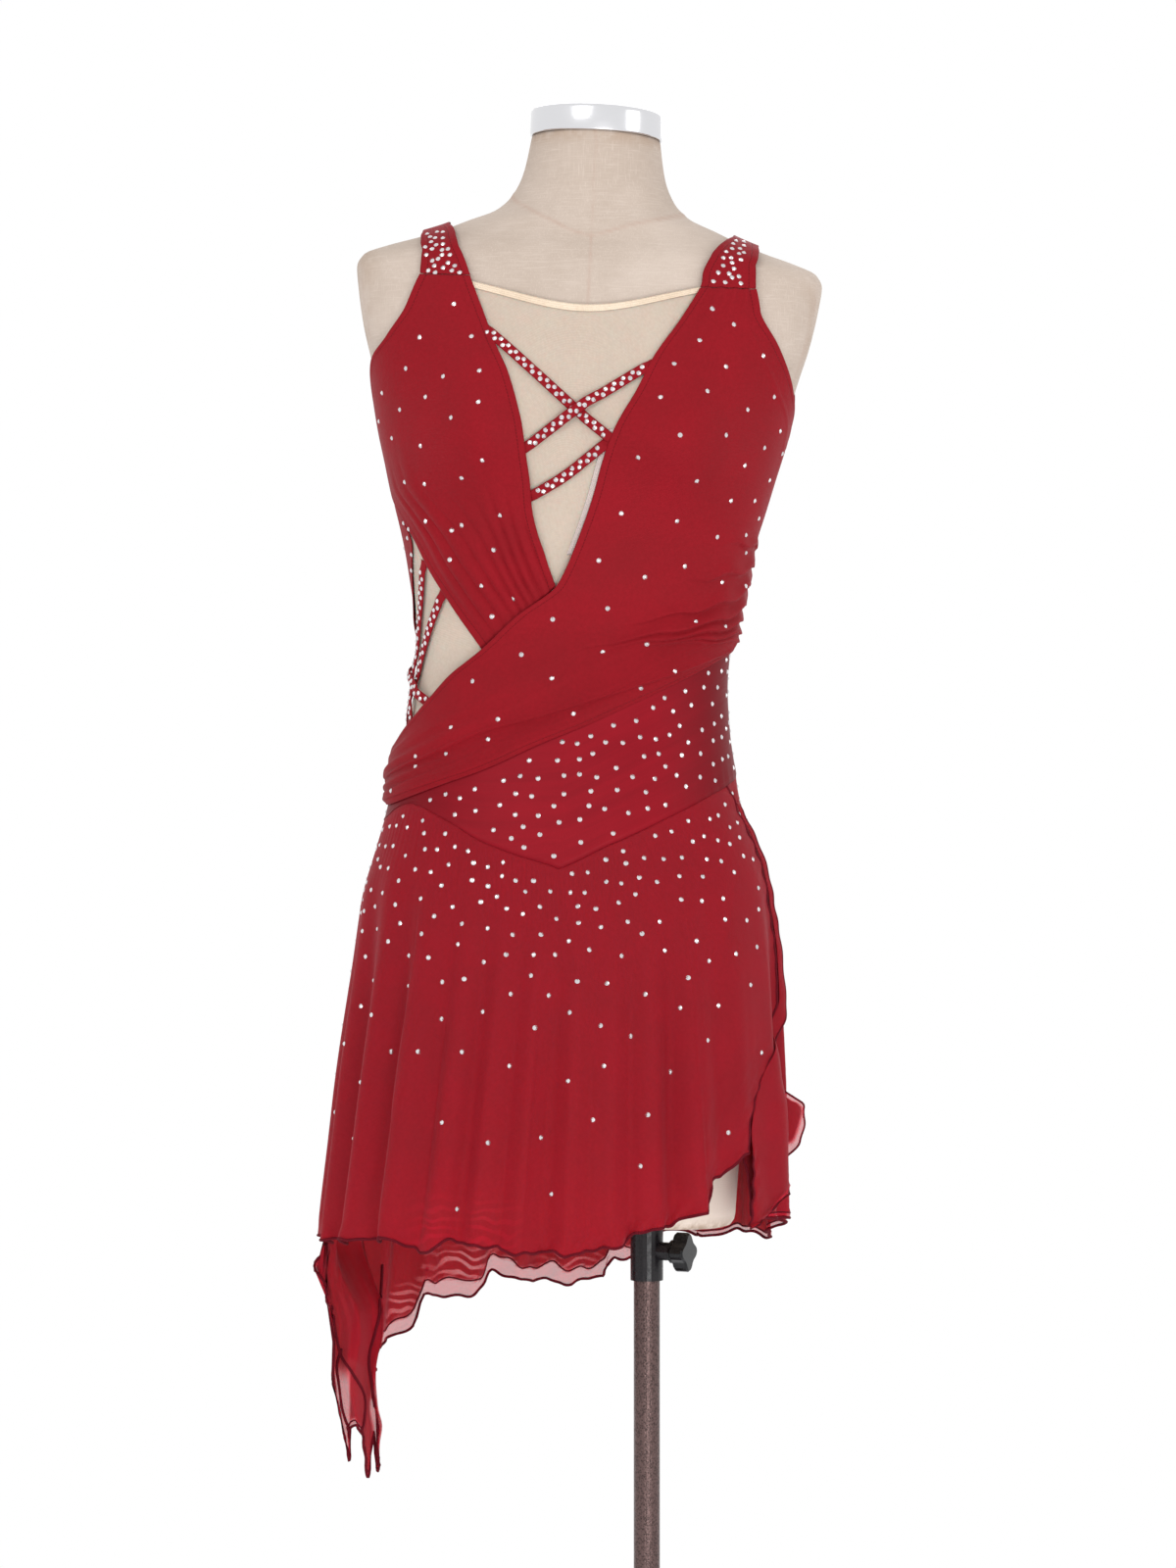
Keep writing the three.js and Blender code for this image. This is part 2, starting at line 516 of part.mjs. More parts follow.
/** How many folds lie between the left side and an angle, whole at each hollow. */
function foldCount(angle) {
  const a = ((angle % 360) + 360) % 360;
  const i = HOLLOWS.findIndex((hollow) => hollow > a) - 1;
  return i + (a - HOLLOWS[i]) / (HOLLOWS[i + 1] - HOLLOWS[i]);
}

/** Where the skirt is sewn to the belt. */
const seam = (angle) => BELT.low(((angle % 360) + 360) % 360) - 0.8;

/** The skirt's inner face: the form's shape at the seam, its own oval below, with folds that deepen. */
function skirtPoint(angle, level) {
  const wave = -Math.cos(2 * Math.PI * foldCount(angle));
  const uneven = 0.8 + 0.2 * Math.cos(radians(7 * angle));
  const depth = FOLD.depth * smooth(-level, -FOLD.start, -FOLD.full) * uneven;
  const { side, front, back, power, shift } = SKIRT;
  const p = oval(angle, side(level), front(level), back(level), power(level));
  const stretch = 1 + (depth * (wave - 1)) / Math.hypot(p.x, p.y);
  const hanging = new THREE.Vector3(p.x * stretch + shift(level), p.y * stretch, level);
  const held = above(formPoint, angle, level, RED_OFFSET);
  return held.lerp(hanging, smooth(seam(angle) - level, 0, 75));
}

const FRONT_HEM = curves("angle level", [
  [30, -343], [38, -358], [43.5, -366], [46, -388], [50, -393], [57, -398], [64, -404], [70, -412], [77, -417],
  [85, -420], [104, -421], [114, -417], [121, -416], [127, -425], [141, -419], [153, -424], [165, -428],
  [179, -431], [190, -431],
]);
// How far round the front slit's edge lies at each share of its drop.
const SLIT = curves("drop angle", [
  [0, 18.6], [0.04, 13.8], [0.14, 11.1], [0.25, 10.7], [0.35, 10], [0.44, 8.7], [0.59, 8.8], [0.66, 12.2],
  [0.71, 17.5], [0.78, 23.5], [0.86, 28.3], [0.95, 31], [1, 30.5],
]);
const RIGHT_SEAM = 186;
const DROPS = [0, 0.11, 0.25, 0.4, 0.54, 0.65, 0.75, 0.85, 0.93, 1]; // where the rows of both skirts lie

/** Where the front skirt lies, from its right side seam (s = 0) to the slit's edge (s = 1). */
function frontSkirtAt(s, t) {
  const plain = mix(RIGHT_SEAM, SLIT.angle(1), s);
  const angle = plain + (SLIT.angle(t) - SLIT.angle(1)) * smooth(s, 0.72, 1);
  return [angle, mix(seam(angle), FRONT_HEM.level(plain), t)];
}

/** The share of the drop at a share of the rows, which crowd where the slit bends. */
const dropAt = (row) => {
  const i = Math.min(Math.floor(row * (DROPS.length - 1) + 1e-9), DROPS.length - 2);
  return mix(DROPS[i], DROPS[i + 1], row * (DROPS.length - 1) - i);
};

function frontSkirt() {
  const face = (s, row, height) => above(skirtPoint, ...frontSkirtAt(s, dropAt(row)), height);
  return wall(56, DROPS.length - 1, face, 0, CLOTH);
}

// The back skirt's hem drops to a long corner at the right side.
const BACK_HEM = curves("angle level", [
  [186, -452], [189, -470], [191, -520], [193, -575], [195, -600], [198, -616], [201, -606], [203, -580],
  [205, -555], [207, -532], [212, -530], [220, -525], [226, -518], [230, -510], [232, -487], [244, -486],
  [250, -479], [253, -467], [265, -473], [284, -467], [287, -453], [294, -447], [306, -424], [315, -428],
  [325, -418], [335, -421], [345, -413], [359, -399], [372, -396], [385, -393], [398, -392],
]);
const BACK_EDGE = curves("drop angle", [
  [0, 375.5], [0.06, 373.6], [0.15, 372.5], [0.25, 372.3], [0.37, 371.6], [0.5, 372], [0.55, 375], [0.6, 380],
  [0.66, 386.5], [0.73, 391], [0.85, 393], [0.93, 391.5], [1, 391],
]);
// The corner gathers into a narrow hanging bunch between two angles, and swings towards the middle.
const CORNER = { from: 186, to: 207, y: 16, wave: 8, waves: 1.6, top: -436, full: -492 };
const BUNCH = curves("level left right", [
  [-436, -170, -106], [-480, -163, -112], [-560, -152, -118], [-600, -145, -117], [-620, -141, -119],
]);

/** The skirt's surface with its long corner drawn together below the hem. */
function cornerPoint(angle, level) {
  const p = skirtPoint(angle, level);
  const s = (angle - CORNER.from) / (CORNER.to - CORNER.from);
  const drawn = smooth(-level, -CORNER.top, -CORNER.full) * (1 - smooth(s, 0.9, 1.25));
  if (drawn <= 0) return p;
  const fold = CORNER.wave * Math.sin(2 * Math.PI * CORNER.waves * s);
  const across = mix(BUNCH.left(level), BUNCH.right(level), s);
  return p.lerp(new THREE.Vector3(across, CORNER.y + 20 * s + fold, level), drawn);
}

/** The back skirt, from the right side seam (s = 0) round the back to its edge at the slit (s = 1). */
function backSkirt() {
  const close = 0.24; // the share of the columns that lies in the corner
  const first = RIGHT_SEAM + 0.4;
  const face = (s, row, height) => {
    const t = dropAt(row);
    const beyond = (s - close) / (1 - close);
    const plain = s < close ? mix(first, 212, s / close) : mix(212, BACK_EDGE.angle(1), beyond);
    const angle = plain + (BACK_EDGE.angle(t) - BACK_EDGE.angle(1)) * smooth(s, 0.84, 1);
    const under = mix(3.6, 7, t) * smooth(angle, 362, 371) * smooth(t, 0, 0.08);
    return above(cornerPoint, angle, mix(seam(angle), BACK_HEM.level(plain), t), height - under);
  };
  return wall(74, DROPS.length - 1, face, 0, CLOTH);
}

// The ruffle along the slit's edge: how far round and below the edge its free side hangs, and how far off.
const RUFFLE = curves("drop round below lift", [
  [0, 2, 1, 2], [0.2, 3, 2, 3], [0.4, 3, 4, 4], [0.6, 3.5, 6, 5], [0.71, 4, 5, 6], [0.78, 13, 8, 6],
  [0.86, 22, 10, 13], [0.92, 23, 16, 12], [0.96, 21, 30, 9], [0.98, 14, 42, 8], [1, 5, 50, 7],
]);

/** A point of the slit's edge, straight between the rows of the front skirt. */
function slitEdge(drop) {
  const i = Math.max(DROPS.findIndex((d) => d >= drop), 1);
  const share = (drop - DROPS[i - 1]) / (DROPS[i] - DROPS[i - 1]);
  const [from, to] = [frontSkirtAt(1, DROPS[i - 1]), frontSkirtAt(1, DROPS[i])];
  return [mix(from[0], to[0], share), mix(from[1], to[1], share)];
}

/** The ruffle, from the slit's edge (s = 0) to its free side (s = 1). */
function slitRuffle() {
  const face = (s, t, height) => {
    const drop = mix(0.06, 0.99, t ** 0.75);
    const [angle, level] = slitEdge(drop);
    const lift = height + 1.4 + RUFFLE.lift(drop) * s ** 0.8;
    return above(skirtPoint, angle - 0.7 - RUFFLE.round(drop) * s, level - RUFFLE.below(drop) * s, lift);
  };
  return wall(7, 16, face, 0, CLOTH);
}

add(worn, "skirt_front", frontSkirt(), MESH_RED);
add(worn, "skirt_back", backSkirt(), MESH_RED);
add(worn, "slit_ruffle", slitRuffle(), MESH_RED);

export default new THREE.Group().add(stand, worn);
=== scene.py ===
"""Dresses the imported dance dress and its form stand: cloth, stones, hems, linen, metal and light.

The form and the dress share one frame, in millimetres, which leans a little over the pole. A point
there is given by its angle round the body and its level above the waist: 0 degrees is the wearer's
left side, 90 the front, 180 the right side and 270 the back. Finished meshes are in metres.
"""
import logging
import math
from collections.abc import Callable, Sequence
from dataclasses import dataclass, field
from enum import Enum
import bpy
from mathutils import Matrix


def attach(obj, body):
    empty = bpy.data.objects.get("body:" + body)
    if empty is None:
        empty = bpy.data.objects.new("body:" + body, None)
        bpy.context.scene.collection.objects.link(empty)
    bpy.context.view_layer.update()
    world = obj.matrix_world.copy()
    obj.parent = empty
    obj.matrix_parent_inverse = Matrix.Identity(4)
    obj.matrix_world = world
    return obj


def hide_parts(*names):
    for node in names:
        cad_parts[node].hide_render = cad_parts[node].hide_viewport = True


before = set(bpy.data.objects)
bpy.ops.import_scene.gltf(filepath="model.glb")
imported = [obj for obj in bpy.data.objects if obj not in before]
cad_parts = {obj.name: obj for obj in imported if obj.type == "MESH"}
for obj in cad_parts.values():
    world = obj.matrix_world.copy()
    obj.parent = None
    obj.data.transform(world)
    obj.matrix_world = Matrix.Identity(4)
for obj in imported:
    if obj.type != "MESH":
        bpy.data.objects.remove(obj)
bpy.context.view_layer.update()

from types import SimpleNamespace

import bpy
import numpy as np
from mathutils import Vector
from mathutils.bvhtree import BVHTree

log = logging.getLogger("dress")
Array = np.ndarray
Rows = Sequence[Sequence[float]]
Surface = Callable[[Array, Array], Array]
Triple = tuple[float, float, float]
Piece = bpy.types.Object
Material = bpy.types.Material
Socket = bpy.types.NodeSocket

# ---------------------------------------------------------------- sizes shared with the solids
LEAN = math.radians(2.7)
WAIST = (-58.5, 1053.0)
LAYER = 2.1
NUDE_OFFSET = 0.3
RED_OFFSET = NUDE_OFFSET + LAYER
WRAP_OFFSET = RED_OFFSET + LAYER
MIDDLE = 0.5  # half of a solid's wall: where the middle of the thin cloth lies
NUDE_MIDDLE = NUDE_OFFSET + MIDDLE
RED_MIDDLE = RED_OFFSET + MIDDLE
CLOTH = 0.6  # thickness of the cloth that shows
UNDER = 1.2  # how far the linen that shows lies below the solid's skin
BUST = SimpleNamespace(out=76, level=182, rise=21, width=42, above=52, below=34)
NOTCH = SimpleNamespace(top=-285, full=-360, depth=0.72, width=17)
CAMERA = SimpleNamespace(x=-0.045, z=0.978, distance=3.5, lens=105.0)
PHOTO = SimpleNamespace(across=1200, down=1600)
PIXEL = 0.00075  # metres at the pole's plane for a pixel of the photograph
MM = 0.001  # metres in a millimetre
RIGHT_SEAM = 186.0  # angle of the dress's right side seam


# ---------------------------------------------------------------- curves
class Curve:
    """A smooth curve y(x) through its rows that never overshoots them."""

    def __init__(self, xs: Sequence[float], ys: Sequence[float]) -> None:
        """Works out the slope at each row: the harmonic mean of its neighbours, or nought at a turn.

        Args:
            xs: rising values along the curve.
            ys: the curve's value at each of them.
        """
        self.xs, self.ys = np.asarray(xs, float), np.asarray(ys, float)
        self.step = np.diff(self.xs)
        rise = np.diff(self.ys) / self.step
        slope = np.zeros(len(self.xs))
        slope[0], slope[-1] = rise[0], rise[-1]
        before = 2 * self.step[1:] + self.step[:-1]
        after = self.step[1:] + 2 * self.step[:-1]
        same = rise[:-1] * rise[1:] > 0
        low, high = np.where(same, rise[:-1], 1.0), np.where(same, rise[1:], 1.0)
        slope[1:-1] = np.where(same, (before + after) / (before / low + after / high), 0.0)
        self.slope = slope

    def __call__(self, value: Array | float) -> Array:
        """The curve at a value: the cubic through both rows beside it with their slopes.

        Args:
            value: where along the curve; beyond an end, the end's own value holds.

        Returns:
            The curve's value there.
        """
        c = np.clip(value, self.xs[0], self.xs[-1])
        i = np.clip(np.searchsorted(self.xs, c, side="left") - 1, 0, len(self.step) - 1)
        t = (c - self.xs[i]) / self.step[i]
        u = 1 - t
        return (
            (1 + 2 * t) * u * u * self.ys[i]
            + t * u * u * self.step[i] * self.slope[i]
            + t * t * (3 - 2 * t) * self.ys[i + 1]
            - t * t * u * self.step[i] * self.slope[i + 1]
        )


def curves(columns: str, rows: Rows) -> SimpleNamespace:
    """One curve for each column but the first, along which they run.

    Args:
        columns: the columns' names, parted by spaces.
        rows: one number for each column.

    Returns:
        The curves by name.
    """
    names = columns.split(" ")
    along, *values = np.array(sorted(rows), float).T
    return SimpleNamespace(**{name: Curve(along, ys) for name, ys in zip(names[1:], values)})


def smooth(value: Array | float, start: float, end: float) -> Array:
    """Rises from 0 at start to 1 at end along 3t^2 - 2t^3."""
    t = np.clip((np.asarray(value, float) - start) / (end - start), 0, 1)
    return t * t * (3 - 2 * t)


def mix(a: Array | float, b: Array | float, t: Array | float) -> Array:
    """The value between a and b at t."""
    return a + (b - a) * t


def ridge(value: Array, centre: Array | float, width: Array | float) -> Array:
    """A soft ridge exp(-((v - c) / w)^2)."""
    return np.exp(-(((value - centre) / width) ** 2))


def ridges(value: Array, rows: Rows) -> Array:
    """A sum of soft ridges, each with its height, centre and width."""
    return sum(height * ridge(value, centre, width) for height, centre, width in rows)


def crease(beyond: Array, width: Array | float, sharp: float = 0.3) -> Array:
    """A fold that rises within a share `sharp` of its width before nought and dies away beyond it."""
    return np.where(beyond < 0, smooth(beyond, -sharp * width, 0), ridge(beyond, 0, width))


def wander(value: Array, *waves: tuple[float, float, float]) -> Array:
    """A sum of sines, size * sin(rate * v + start), whose rates have no common beat."""
    return sum(size * np.sin(rate * value + start) for size, rate, start in waves)


def unit(vectors: Array) -> Array:
    """Vectors scaled to length 1."""
    return vectors / np.maximum(np.linalg.norm(vectors, axis=-1, keepdims=True), 1e-12)


def to_world(points: Array) -> Array:
    """Points turned by the lean about the waist: x = u cos + w sin, z = w cos - u sin.

    Args:
        points: places in the leaning frame, in millimetres.

    Returns:
        The same in the row's frame, in metres.
    """
    u, y, w = points[..., 0], points[..., 1], points[..., 2]
    c, s = math.cos(LEAN), math.sin(LEAN)
    return np.stack([WAIST[0] + u * c + w * s, y, WAIST[1] - u * s + w * c], -1) * MM


# ---------------------------------------------------------------- the form's surface
SECTION = curves("level side front back power", [
    [420, 50, 57, 43, 2.0], [390, 55.5, 55, 52, 2.0], [373, 63, 56, 59, 2.05],
    [361, 75, 58, 64, 2.1], [351, 98, 61, 69, 2.2], [344, 114, 63, 72, 2.25],
    [336, 136, 66, 76, 2.4], [329, 158, 70, 80, 2.5], [322, 174, 73, 84, 2.7],
    [312, 179, 77, 87, 2.8], [295, 177, 83, 91, 2.8], [268, 172, 90, 96, 2.8],
    [235, 163, 97, 99, 2.6], [212, 157.5, 99, 100, 2.5], [190, 153, 100, 99, 2.45],
    [165, 146.5, 98, 97, 2.4], [140, 140, 96, 94, 2.35], [115, 132, 92, 90, 2.3],
    [90, 126, 89, 84, 2.25], [50, 119.5, 85, 78, 2.2], [10, 117, 84, 77, 2.2],
    [-30, 120.5, 86, 83, 2.2], [-60, 126, 90, 92, 2.2], [-90, 130.5, 93, 102, 2.25],
    [-120, 136, 96, 110, 2.3], [-155, 142, 98, 115, 2.3], [-200, 146, 98, 115, 2.3],
    [-250, 147.5, 96, 108, 2.35], [-320, 147.5, 92, 98, 2.4], [-405, 146, 86, 90, 2.45],
])


def oval(angle: Array, side: Array, front: Array, back: Array, power: Array) -> tuple[Array, Array]:
    """The corner-rounded oval at an angle.

    The reach at angle a is (|cos a / side|^p + |sin a / depth|^p)^(-1/p), with depth front or back.

    Args:
        angle: degrees round the body.
        side: half the width.
        front: reach to the front.
        back: reach to the back.
        power: how square the oval is.

    Returns:
        x to the side and y to the back.
    """
    c, s = np.cos(np.radians(angle)), np.sin(np.radians(angle))
    depth = np.where(s >= 0, front, back)
    reach = ((np.abs(c) / side) ** power + (np.abs(s) / depth) ** power) ** (-1 / power)
    return reach * c, -reach * s


def section(table: SimpleNamespace, angle: Array, level: Array) -> tuple[Array, Array]:
    """The oval at an angle whose sizes a table gives for each level."""
    return oval(angle, table.side(level), table.front(level), table.back(level), table.power(level))


def form_point(angle: Array, level: Array) -> Array:
    """The form: the oval of its level, with the bust's two rises exp(-across^2 - up^2) in front.

    Args:
        angle: degrees round the body.
        level: millimetres above the waist.

    Returns:
        Points in the leaning frame.
    """
    x, y = section(SECTION, angle, level)
    spread = np.where(level > BUST.level, BUST.above, BUST.below)
    across = (np.abs(x) - BUST.out) / BUST.width
    rise = BUST.rise * np.exp(-(across**2) - ((level - BUST.level) / spread) ** 2) * smooth(-y, 0, 40)
    return np.stack([x, y - rise, level + 0 * x], -1)


NECK_SEAM = curves("angle level", [
    [0, 365], [30, 358], [60, 349], [80, 341], [90, 338], [100, 340], [120, 350], [150, 364],
    [180, 374], [225, 379], [270, 380], [315, 374], [360, 366],
])


def groove(points: Array) -> Array:
    """The lower end with its groove front and back: y shrinks by depth * exp(-(x / 2w)^2).

    Args:
        points: the form's points.

    Returns:
        The same points, grooved.
    """
    cut = NOTCH.depth * smooth(-points[..., 2], -NOTCH.top, -NOTCH.full)
    out = points.copy()
    out[..., 1] *= 1 - cut * np.exp(-((points[..., 0] / (2 * NOTCH.width)) ** 2))
    return out


def above(surface: Surface, angle: Array, level: Array, height: Array | float) -> Array:
    """Points at a height above a surface, along the cross product of its two differences.

    Args:
        surface: gives the points at an angle and a level.
        angle: degrees round the body.
        level: millimetres above the waist.
        height: millimetres above the surface.

    Returns:
        Points in the leaning frame.
    """
    angle, level = np.broadcast_arrays(np.asarray(angle, float), np.asarray(level, float))
    d = 0.4  # half the span of a difference, in degrees and in millimetres
    around = surface(angle + d, level) - surface(angle - d, level)
    upward = surface(angle, level + d) - surface(angle, level - d)
    normal = unit(np.cross(upward, around))
    return surface(angle, level) + normal * (np.zeros(angle.shape) + height)[..., None]


# ---------------------------------------------------------------- the skirt's surface
BELT = curves("angle low high", [
    [0, -59, 55], [12, -66, 46], [25, -75, 30], [42, -91, 14], [68, -117, -10], [91, -137, -28],
    [123, -120, -54], [138, -105, -66], [155, -94, -76], [162, -98, -82], [171, -106, -84],
    [184, -109, -70], [200, -110, -50], [225, -112, -10], [250, -114, 22], [270, -115, 34],
    [290, -112, 40], [315, -100, 46], [340, -78, 52], [360, -59, 55],
])
SKIRT = curves("level side front back shift power", [
    [-40, 126, 90, 89.5, 0, 2.2], [-60, 131, 93.5, 95.5, 0, 2.2], [-90, 139.5, 97, 106, 2, 2.25],
    [-104, 144.5, 100, 111, 4, 2.25], [-130, 150, 104, 119, 5, 2.3],
    [-157, 156, 108, 125, 5.5, 2.3], [-187, 160, 112, 130, 7, 2.3], [-233, 165, 118, 137, 8, 2.3],
    [-308, 172, 127, 146, 8, 2.3], [-353, 175, 132, 151, 8, 2.3], [-430, 180, 140, 158, 8, 2.3],
    [-620, 184, 146, 164, 5, 2.3],
])
HOLLOWS = np.array([
    0, 12, 25, 39, 53, 67, 80, 93, 107, 120, 131, 147, 162, 176, 190, 206, 219, 232, 246, 260, 274,
    288, 302, 316, 330, 345, 360,
], float)
FOLD = SimpleNamespace(start=-100, full=-330, depth=7.5)
# Where the folds are calmer: by how much, round which angle and how wide.
CALM = [(0.65, 92, 34), (0.35, 40, 14)]
CALM_SLIT = (0.5, 25, 9)
TIP = SimpleNamespace(angle=91, lift=4.5, width=20, sharp=5)  # the belt's front point
SEAM_DROP = 0.8  # how far the skirt's seam lies below the belt's lower edge


def fold_count(angle: Array) -> Array:
    """How many folds lie between the left side and an angle, whole at each hollow."""
    return np.interp(np.mod(angle, 360), HOLLOWS, np.arange(len(HOLLOWS)))


def belt_low(angle: Array) -> Array:
    """The belt's lower edge, lifted by exp(-(a / width)^2) - exp(-|a| / sharp) beside its point.

    Args:
        angle: degrees round the body.

    Returns:
        Its level.
    """
    turn = np.mod(angle, 360)
    away = turn - TIP.angle
    return BELT.low(turn) + TIP.lift * (ridge(away, 0, TIP.width) - np.exp(-np.abs(away) / TIP.sharp))


def belt_seam(angle: Array) -> Array:
    """The level at which the skirt is sewn to the belt."""
    return belt_low(angle) - SEAM_DROP


def skirt_point(angle: Array, level: Array) -> Array:
    """The skirt: the form's shape at the seam, its own oval below, with cosine folds that deepen.

    Args:
        angle: degrees round the body.
        level: millimetres above the waist.

    Returns:
        Points in the leaning frame.
    """
    wave = -np.cos(2 * np.pi * fold_count(angle))
    calm = 1 - ridges(angle, CALM) - ridges(np.mod(angle, 360), [CALM_SLIT])
    uneven = 0.8 + 0.2 * np.cos(np.radians(7 * angle))
    depth = FOLD.depth * smooth(-level, -FOLD.start, -FOLD.full) * uneven * calm
    x, y = section(SKIRT, angle, level)
    stretch = 1 + depth * (wave - 1) / np.hypot(x, y)
    hanging = np.stack([x * stretch + SKIRT.shift(level), y * stretch, level + 0 * x], -1)
    held = above(form_point, angle, level, RED_OFFSET)
    return mix(held, hanging, smooth(belt_seam(angle) - level, 0, 75)[..., None])


# ---------------------------------------------------------------- sheets of points
class Side(Enum):
    """One of the four edges of a sheet, as the part of its grid."""

    FIRST = np.s_[:, 0]
    LAST = np.s_[:, -1]
    TOP = np.s_[0]
    BOTTOM = np.s_[-1]


@dataclass
class Sheet:
    """A grid of points in the leaning frame, rows down and columns across, that faces outwards."""

    points: Array
    outward: float = 1.0

    @classmethod
    def facing(cls, points: Array, away: Array) -> "Sheet":
        """A sheet turned so that the sum of its normals' shares along away is above nought.

        Args:
            points: its grid.
            away: one direction, or one for each point.

        Returns:
            The sheet.
        """
        sheet = cls(points)
        sheet.outward = 1.0 if np.sum(sheet.normals() * away) > 0 else -1.0
        return sheet

    @classmethod
    def facing_out(cls, points: Array) -> "Sheet":
        """The sheet of these points, turned so that most of it faces away from the body's axis."""
        return cls.facing(points, points * np.array([1, 1, 0]))

    def normals(self) -> Array:
        """The unit normals: the cross product of the differences down and across."""
        down = np.gradient(self.points, axis=0)
        across = np.gradient(self.points, axis=1)
        return unit(np.cross(down, across)) * self.outward

    def raised(self, height: Array | float) -> "Sheet":
        """The sheet moved along its normals."""
        high = (np.zeros(self.points.shape[:2]) + height)[..., None]
        return Sheet(self.points + self.normals() * high, self.outward)

    def across(self) -> Array:
        """The distance of each point from the first edge, along its row."""
        steps = np.linalg.norm(np.diff(self.points, axis=1), axis=-1)
        return np.concatenate([np.zeros((len(steps), 1)), np.cumsum(steps, 1)], 1)

    def down(self) -> Array:
        """The distance of each point from the top edge, along its column."""
        steps = np.linalg.norm(np.diff(self.points, axis=0), axis=-1)
        return np.concatenate([np.zeros((1, steps.shape[1])), np.cumsum(steps, 0)], 0)

    def edge(self, side: Side) -> tuple[Array, Array]:
        """The points of an edge and the sheet's normals there."""
        return self.points[side.value], self.normals()[side.value]

    def at(self, s: Array, t: Array) -> tuple[Array, Array]:
        """Points and normals between the grid's points, each the blend of the four round it.

        Args:
            s: shares across.
            t: shares down.

        Returns:
            Points and unit normals.
        """
        rows, columns = self.points.shape[:2]
        x, y = np.clip(s, 0, 1) * (columns - 1), np.clip(t, 0, 1) * (rows - 1)
        i, j = np.minimum(x.astype(int), columns - 2), np.minimum(y.astype(int), rows - 2)
        fx, fy = (x - i)[..., None], (y - j)[..., None]

        def blend(grid: Array) -> Array:
            """The grid's value at x, y."""
            upper = mix(grid[j, i], grid[j, i + 1], fx)
            return mix(upper, mix(grid[j + 1, i], grid[j + 1, i + 1], fx), fy)

        return blend(self.points), unit(blend(self.normals()))


def grid(columns: int, rows: int) -> tuple[Array, Array]:
    """Shares s across and t down for a grid of that many cells."""
    return np.meshgrid(np.linspace(0, 1, columns + 1), np.linspace(0, 1, rows + 1))


# ---------------------------------------------------------------- meshes
TUBE_END = 0.45  # how much of its radius a tube keeps at its ends
STONE_FACETS = 8
# Reach and height of a stone's dark outer ring, girdle and table, in its radii; the dark ring is
# painted shadow.
STONE_RINGS = ((1.2, -0.08), (0.84, 0.2), (0.48, 0.5))


def grid_cells(rows: int, columns: int, ring: bool = False) -> tuple[Array, Array]:
    """The four corners of each cell of a grid.

    Args:
        rows: points down.
        columns: points across; on a ring the last column is the first again.
        ring: whether the last column shares the first one's points.

    Returns:
        Indices into the mesh's points, and indices into the whole grid for its UV.
    """
    j, i = np.meshgrid(np.arange(rows - 1), np.arange(columns - 1), indexing="ij")
    first, below = j * columns + i, (j + 1) * columns + i
    whole = np.stack([first, below, below + 1, first + 1], -1).reshape(-1, 4)
    if not ring:
        return whole, whole
    row, column = np.divmod(whole, columns)
    return row * (columns - 1) + column % (columns - 1), whole


def mesh_object(
    name: str,
    points: Array,
    cells: Array,
    uv: dict[str, Array] | None = None,
    values: dict[str, Array] | None = None,
    caps: Sequence[Array] = (),
) -> Piece:
    """A smooth mesh object from points in metres.

    Args:
        name: the object's name.
        points: the corners, one row each.
        cells: the corners of each face.
        uv: UV maps by name, one row for each corner of each cell in turn.
        values: point attributes by name.
        caps: more faces, of any number of corners.

    Returns:
        The object, at the origin.
    """
    mesh = bpy.data.meshes.new(name)
    mesh.from_pydata(points.tolist(), [], cells.tolist() + [list(map(int, cap)) for cap in caps])
    for label, coordinates in (uv or {}).items():
        layer = mesh.uv_layers.new(name=label)
        data = np.zeros((len(mesh.loops), 2))
        data[: cells.size] = coordinates
        layer.data.foreach_set("uv", data.ravel())
    for label, numbers in (values or {}).items():
        attribute = mesh.attributes.new(label, "FLOAT", "POINT")
        attribute.data.foreach_set("value", numbers.astype(np.float32).ravel())
    mesh.shade_smooth()
    mesh.update()
    made = bpy.data.objects.new(name, mesh)
    bpy.context.scene.collection.objects.link(made)
    return made


def cloth_object(
    name: str, sheet: Sheet, thickness: float = CLOTH, values: dict[str, Array] | None = None
) -> Piece:
    """A piece of cloth: a sheet's grid with a thin wall.

    Its UV map "weave" holds millimetres across and down; "edge" holds the distance from the nearest
    side edge and the length along it.

    Args:
        name: the object's name.
        sheet: the middle of the cloth.
        thickness: the wall, in millimetres.
        values: point attributes by name.

    Returns:
        The object.
    """
    rows, columns = sheet.points.shape[:2]
    cells, whole = grid_cells(rows, columns)
    across, down = sheet.across(), sheet.down()
    width = across[:, -1:]
    weave = np.stack([across - width / 2, down], -1).reshape(-1, 2)
    nearest = np.minimum(across, width - across)
    edge = np.stack([nearest, down], -1).reshape(-1, 2)
    if sheet.outward < 0:
        cells, whole = cells[:, ::-1], whole[:, ::-1]
    uv = {"weave": weave[whole.ravel()], "edge": edge[whole.ravel()]}
    made = mesh_object(name, to_world(sheet.points).reshape(-1, 3), cells, uv, values)
    wall = made.modifiers.new("wall", "SOLIDIFY")
    wall.thickness = thickness * MM
    wall.offset = 0
    return made


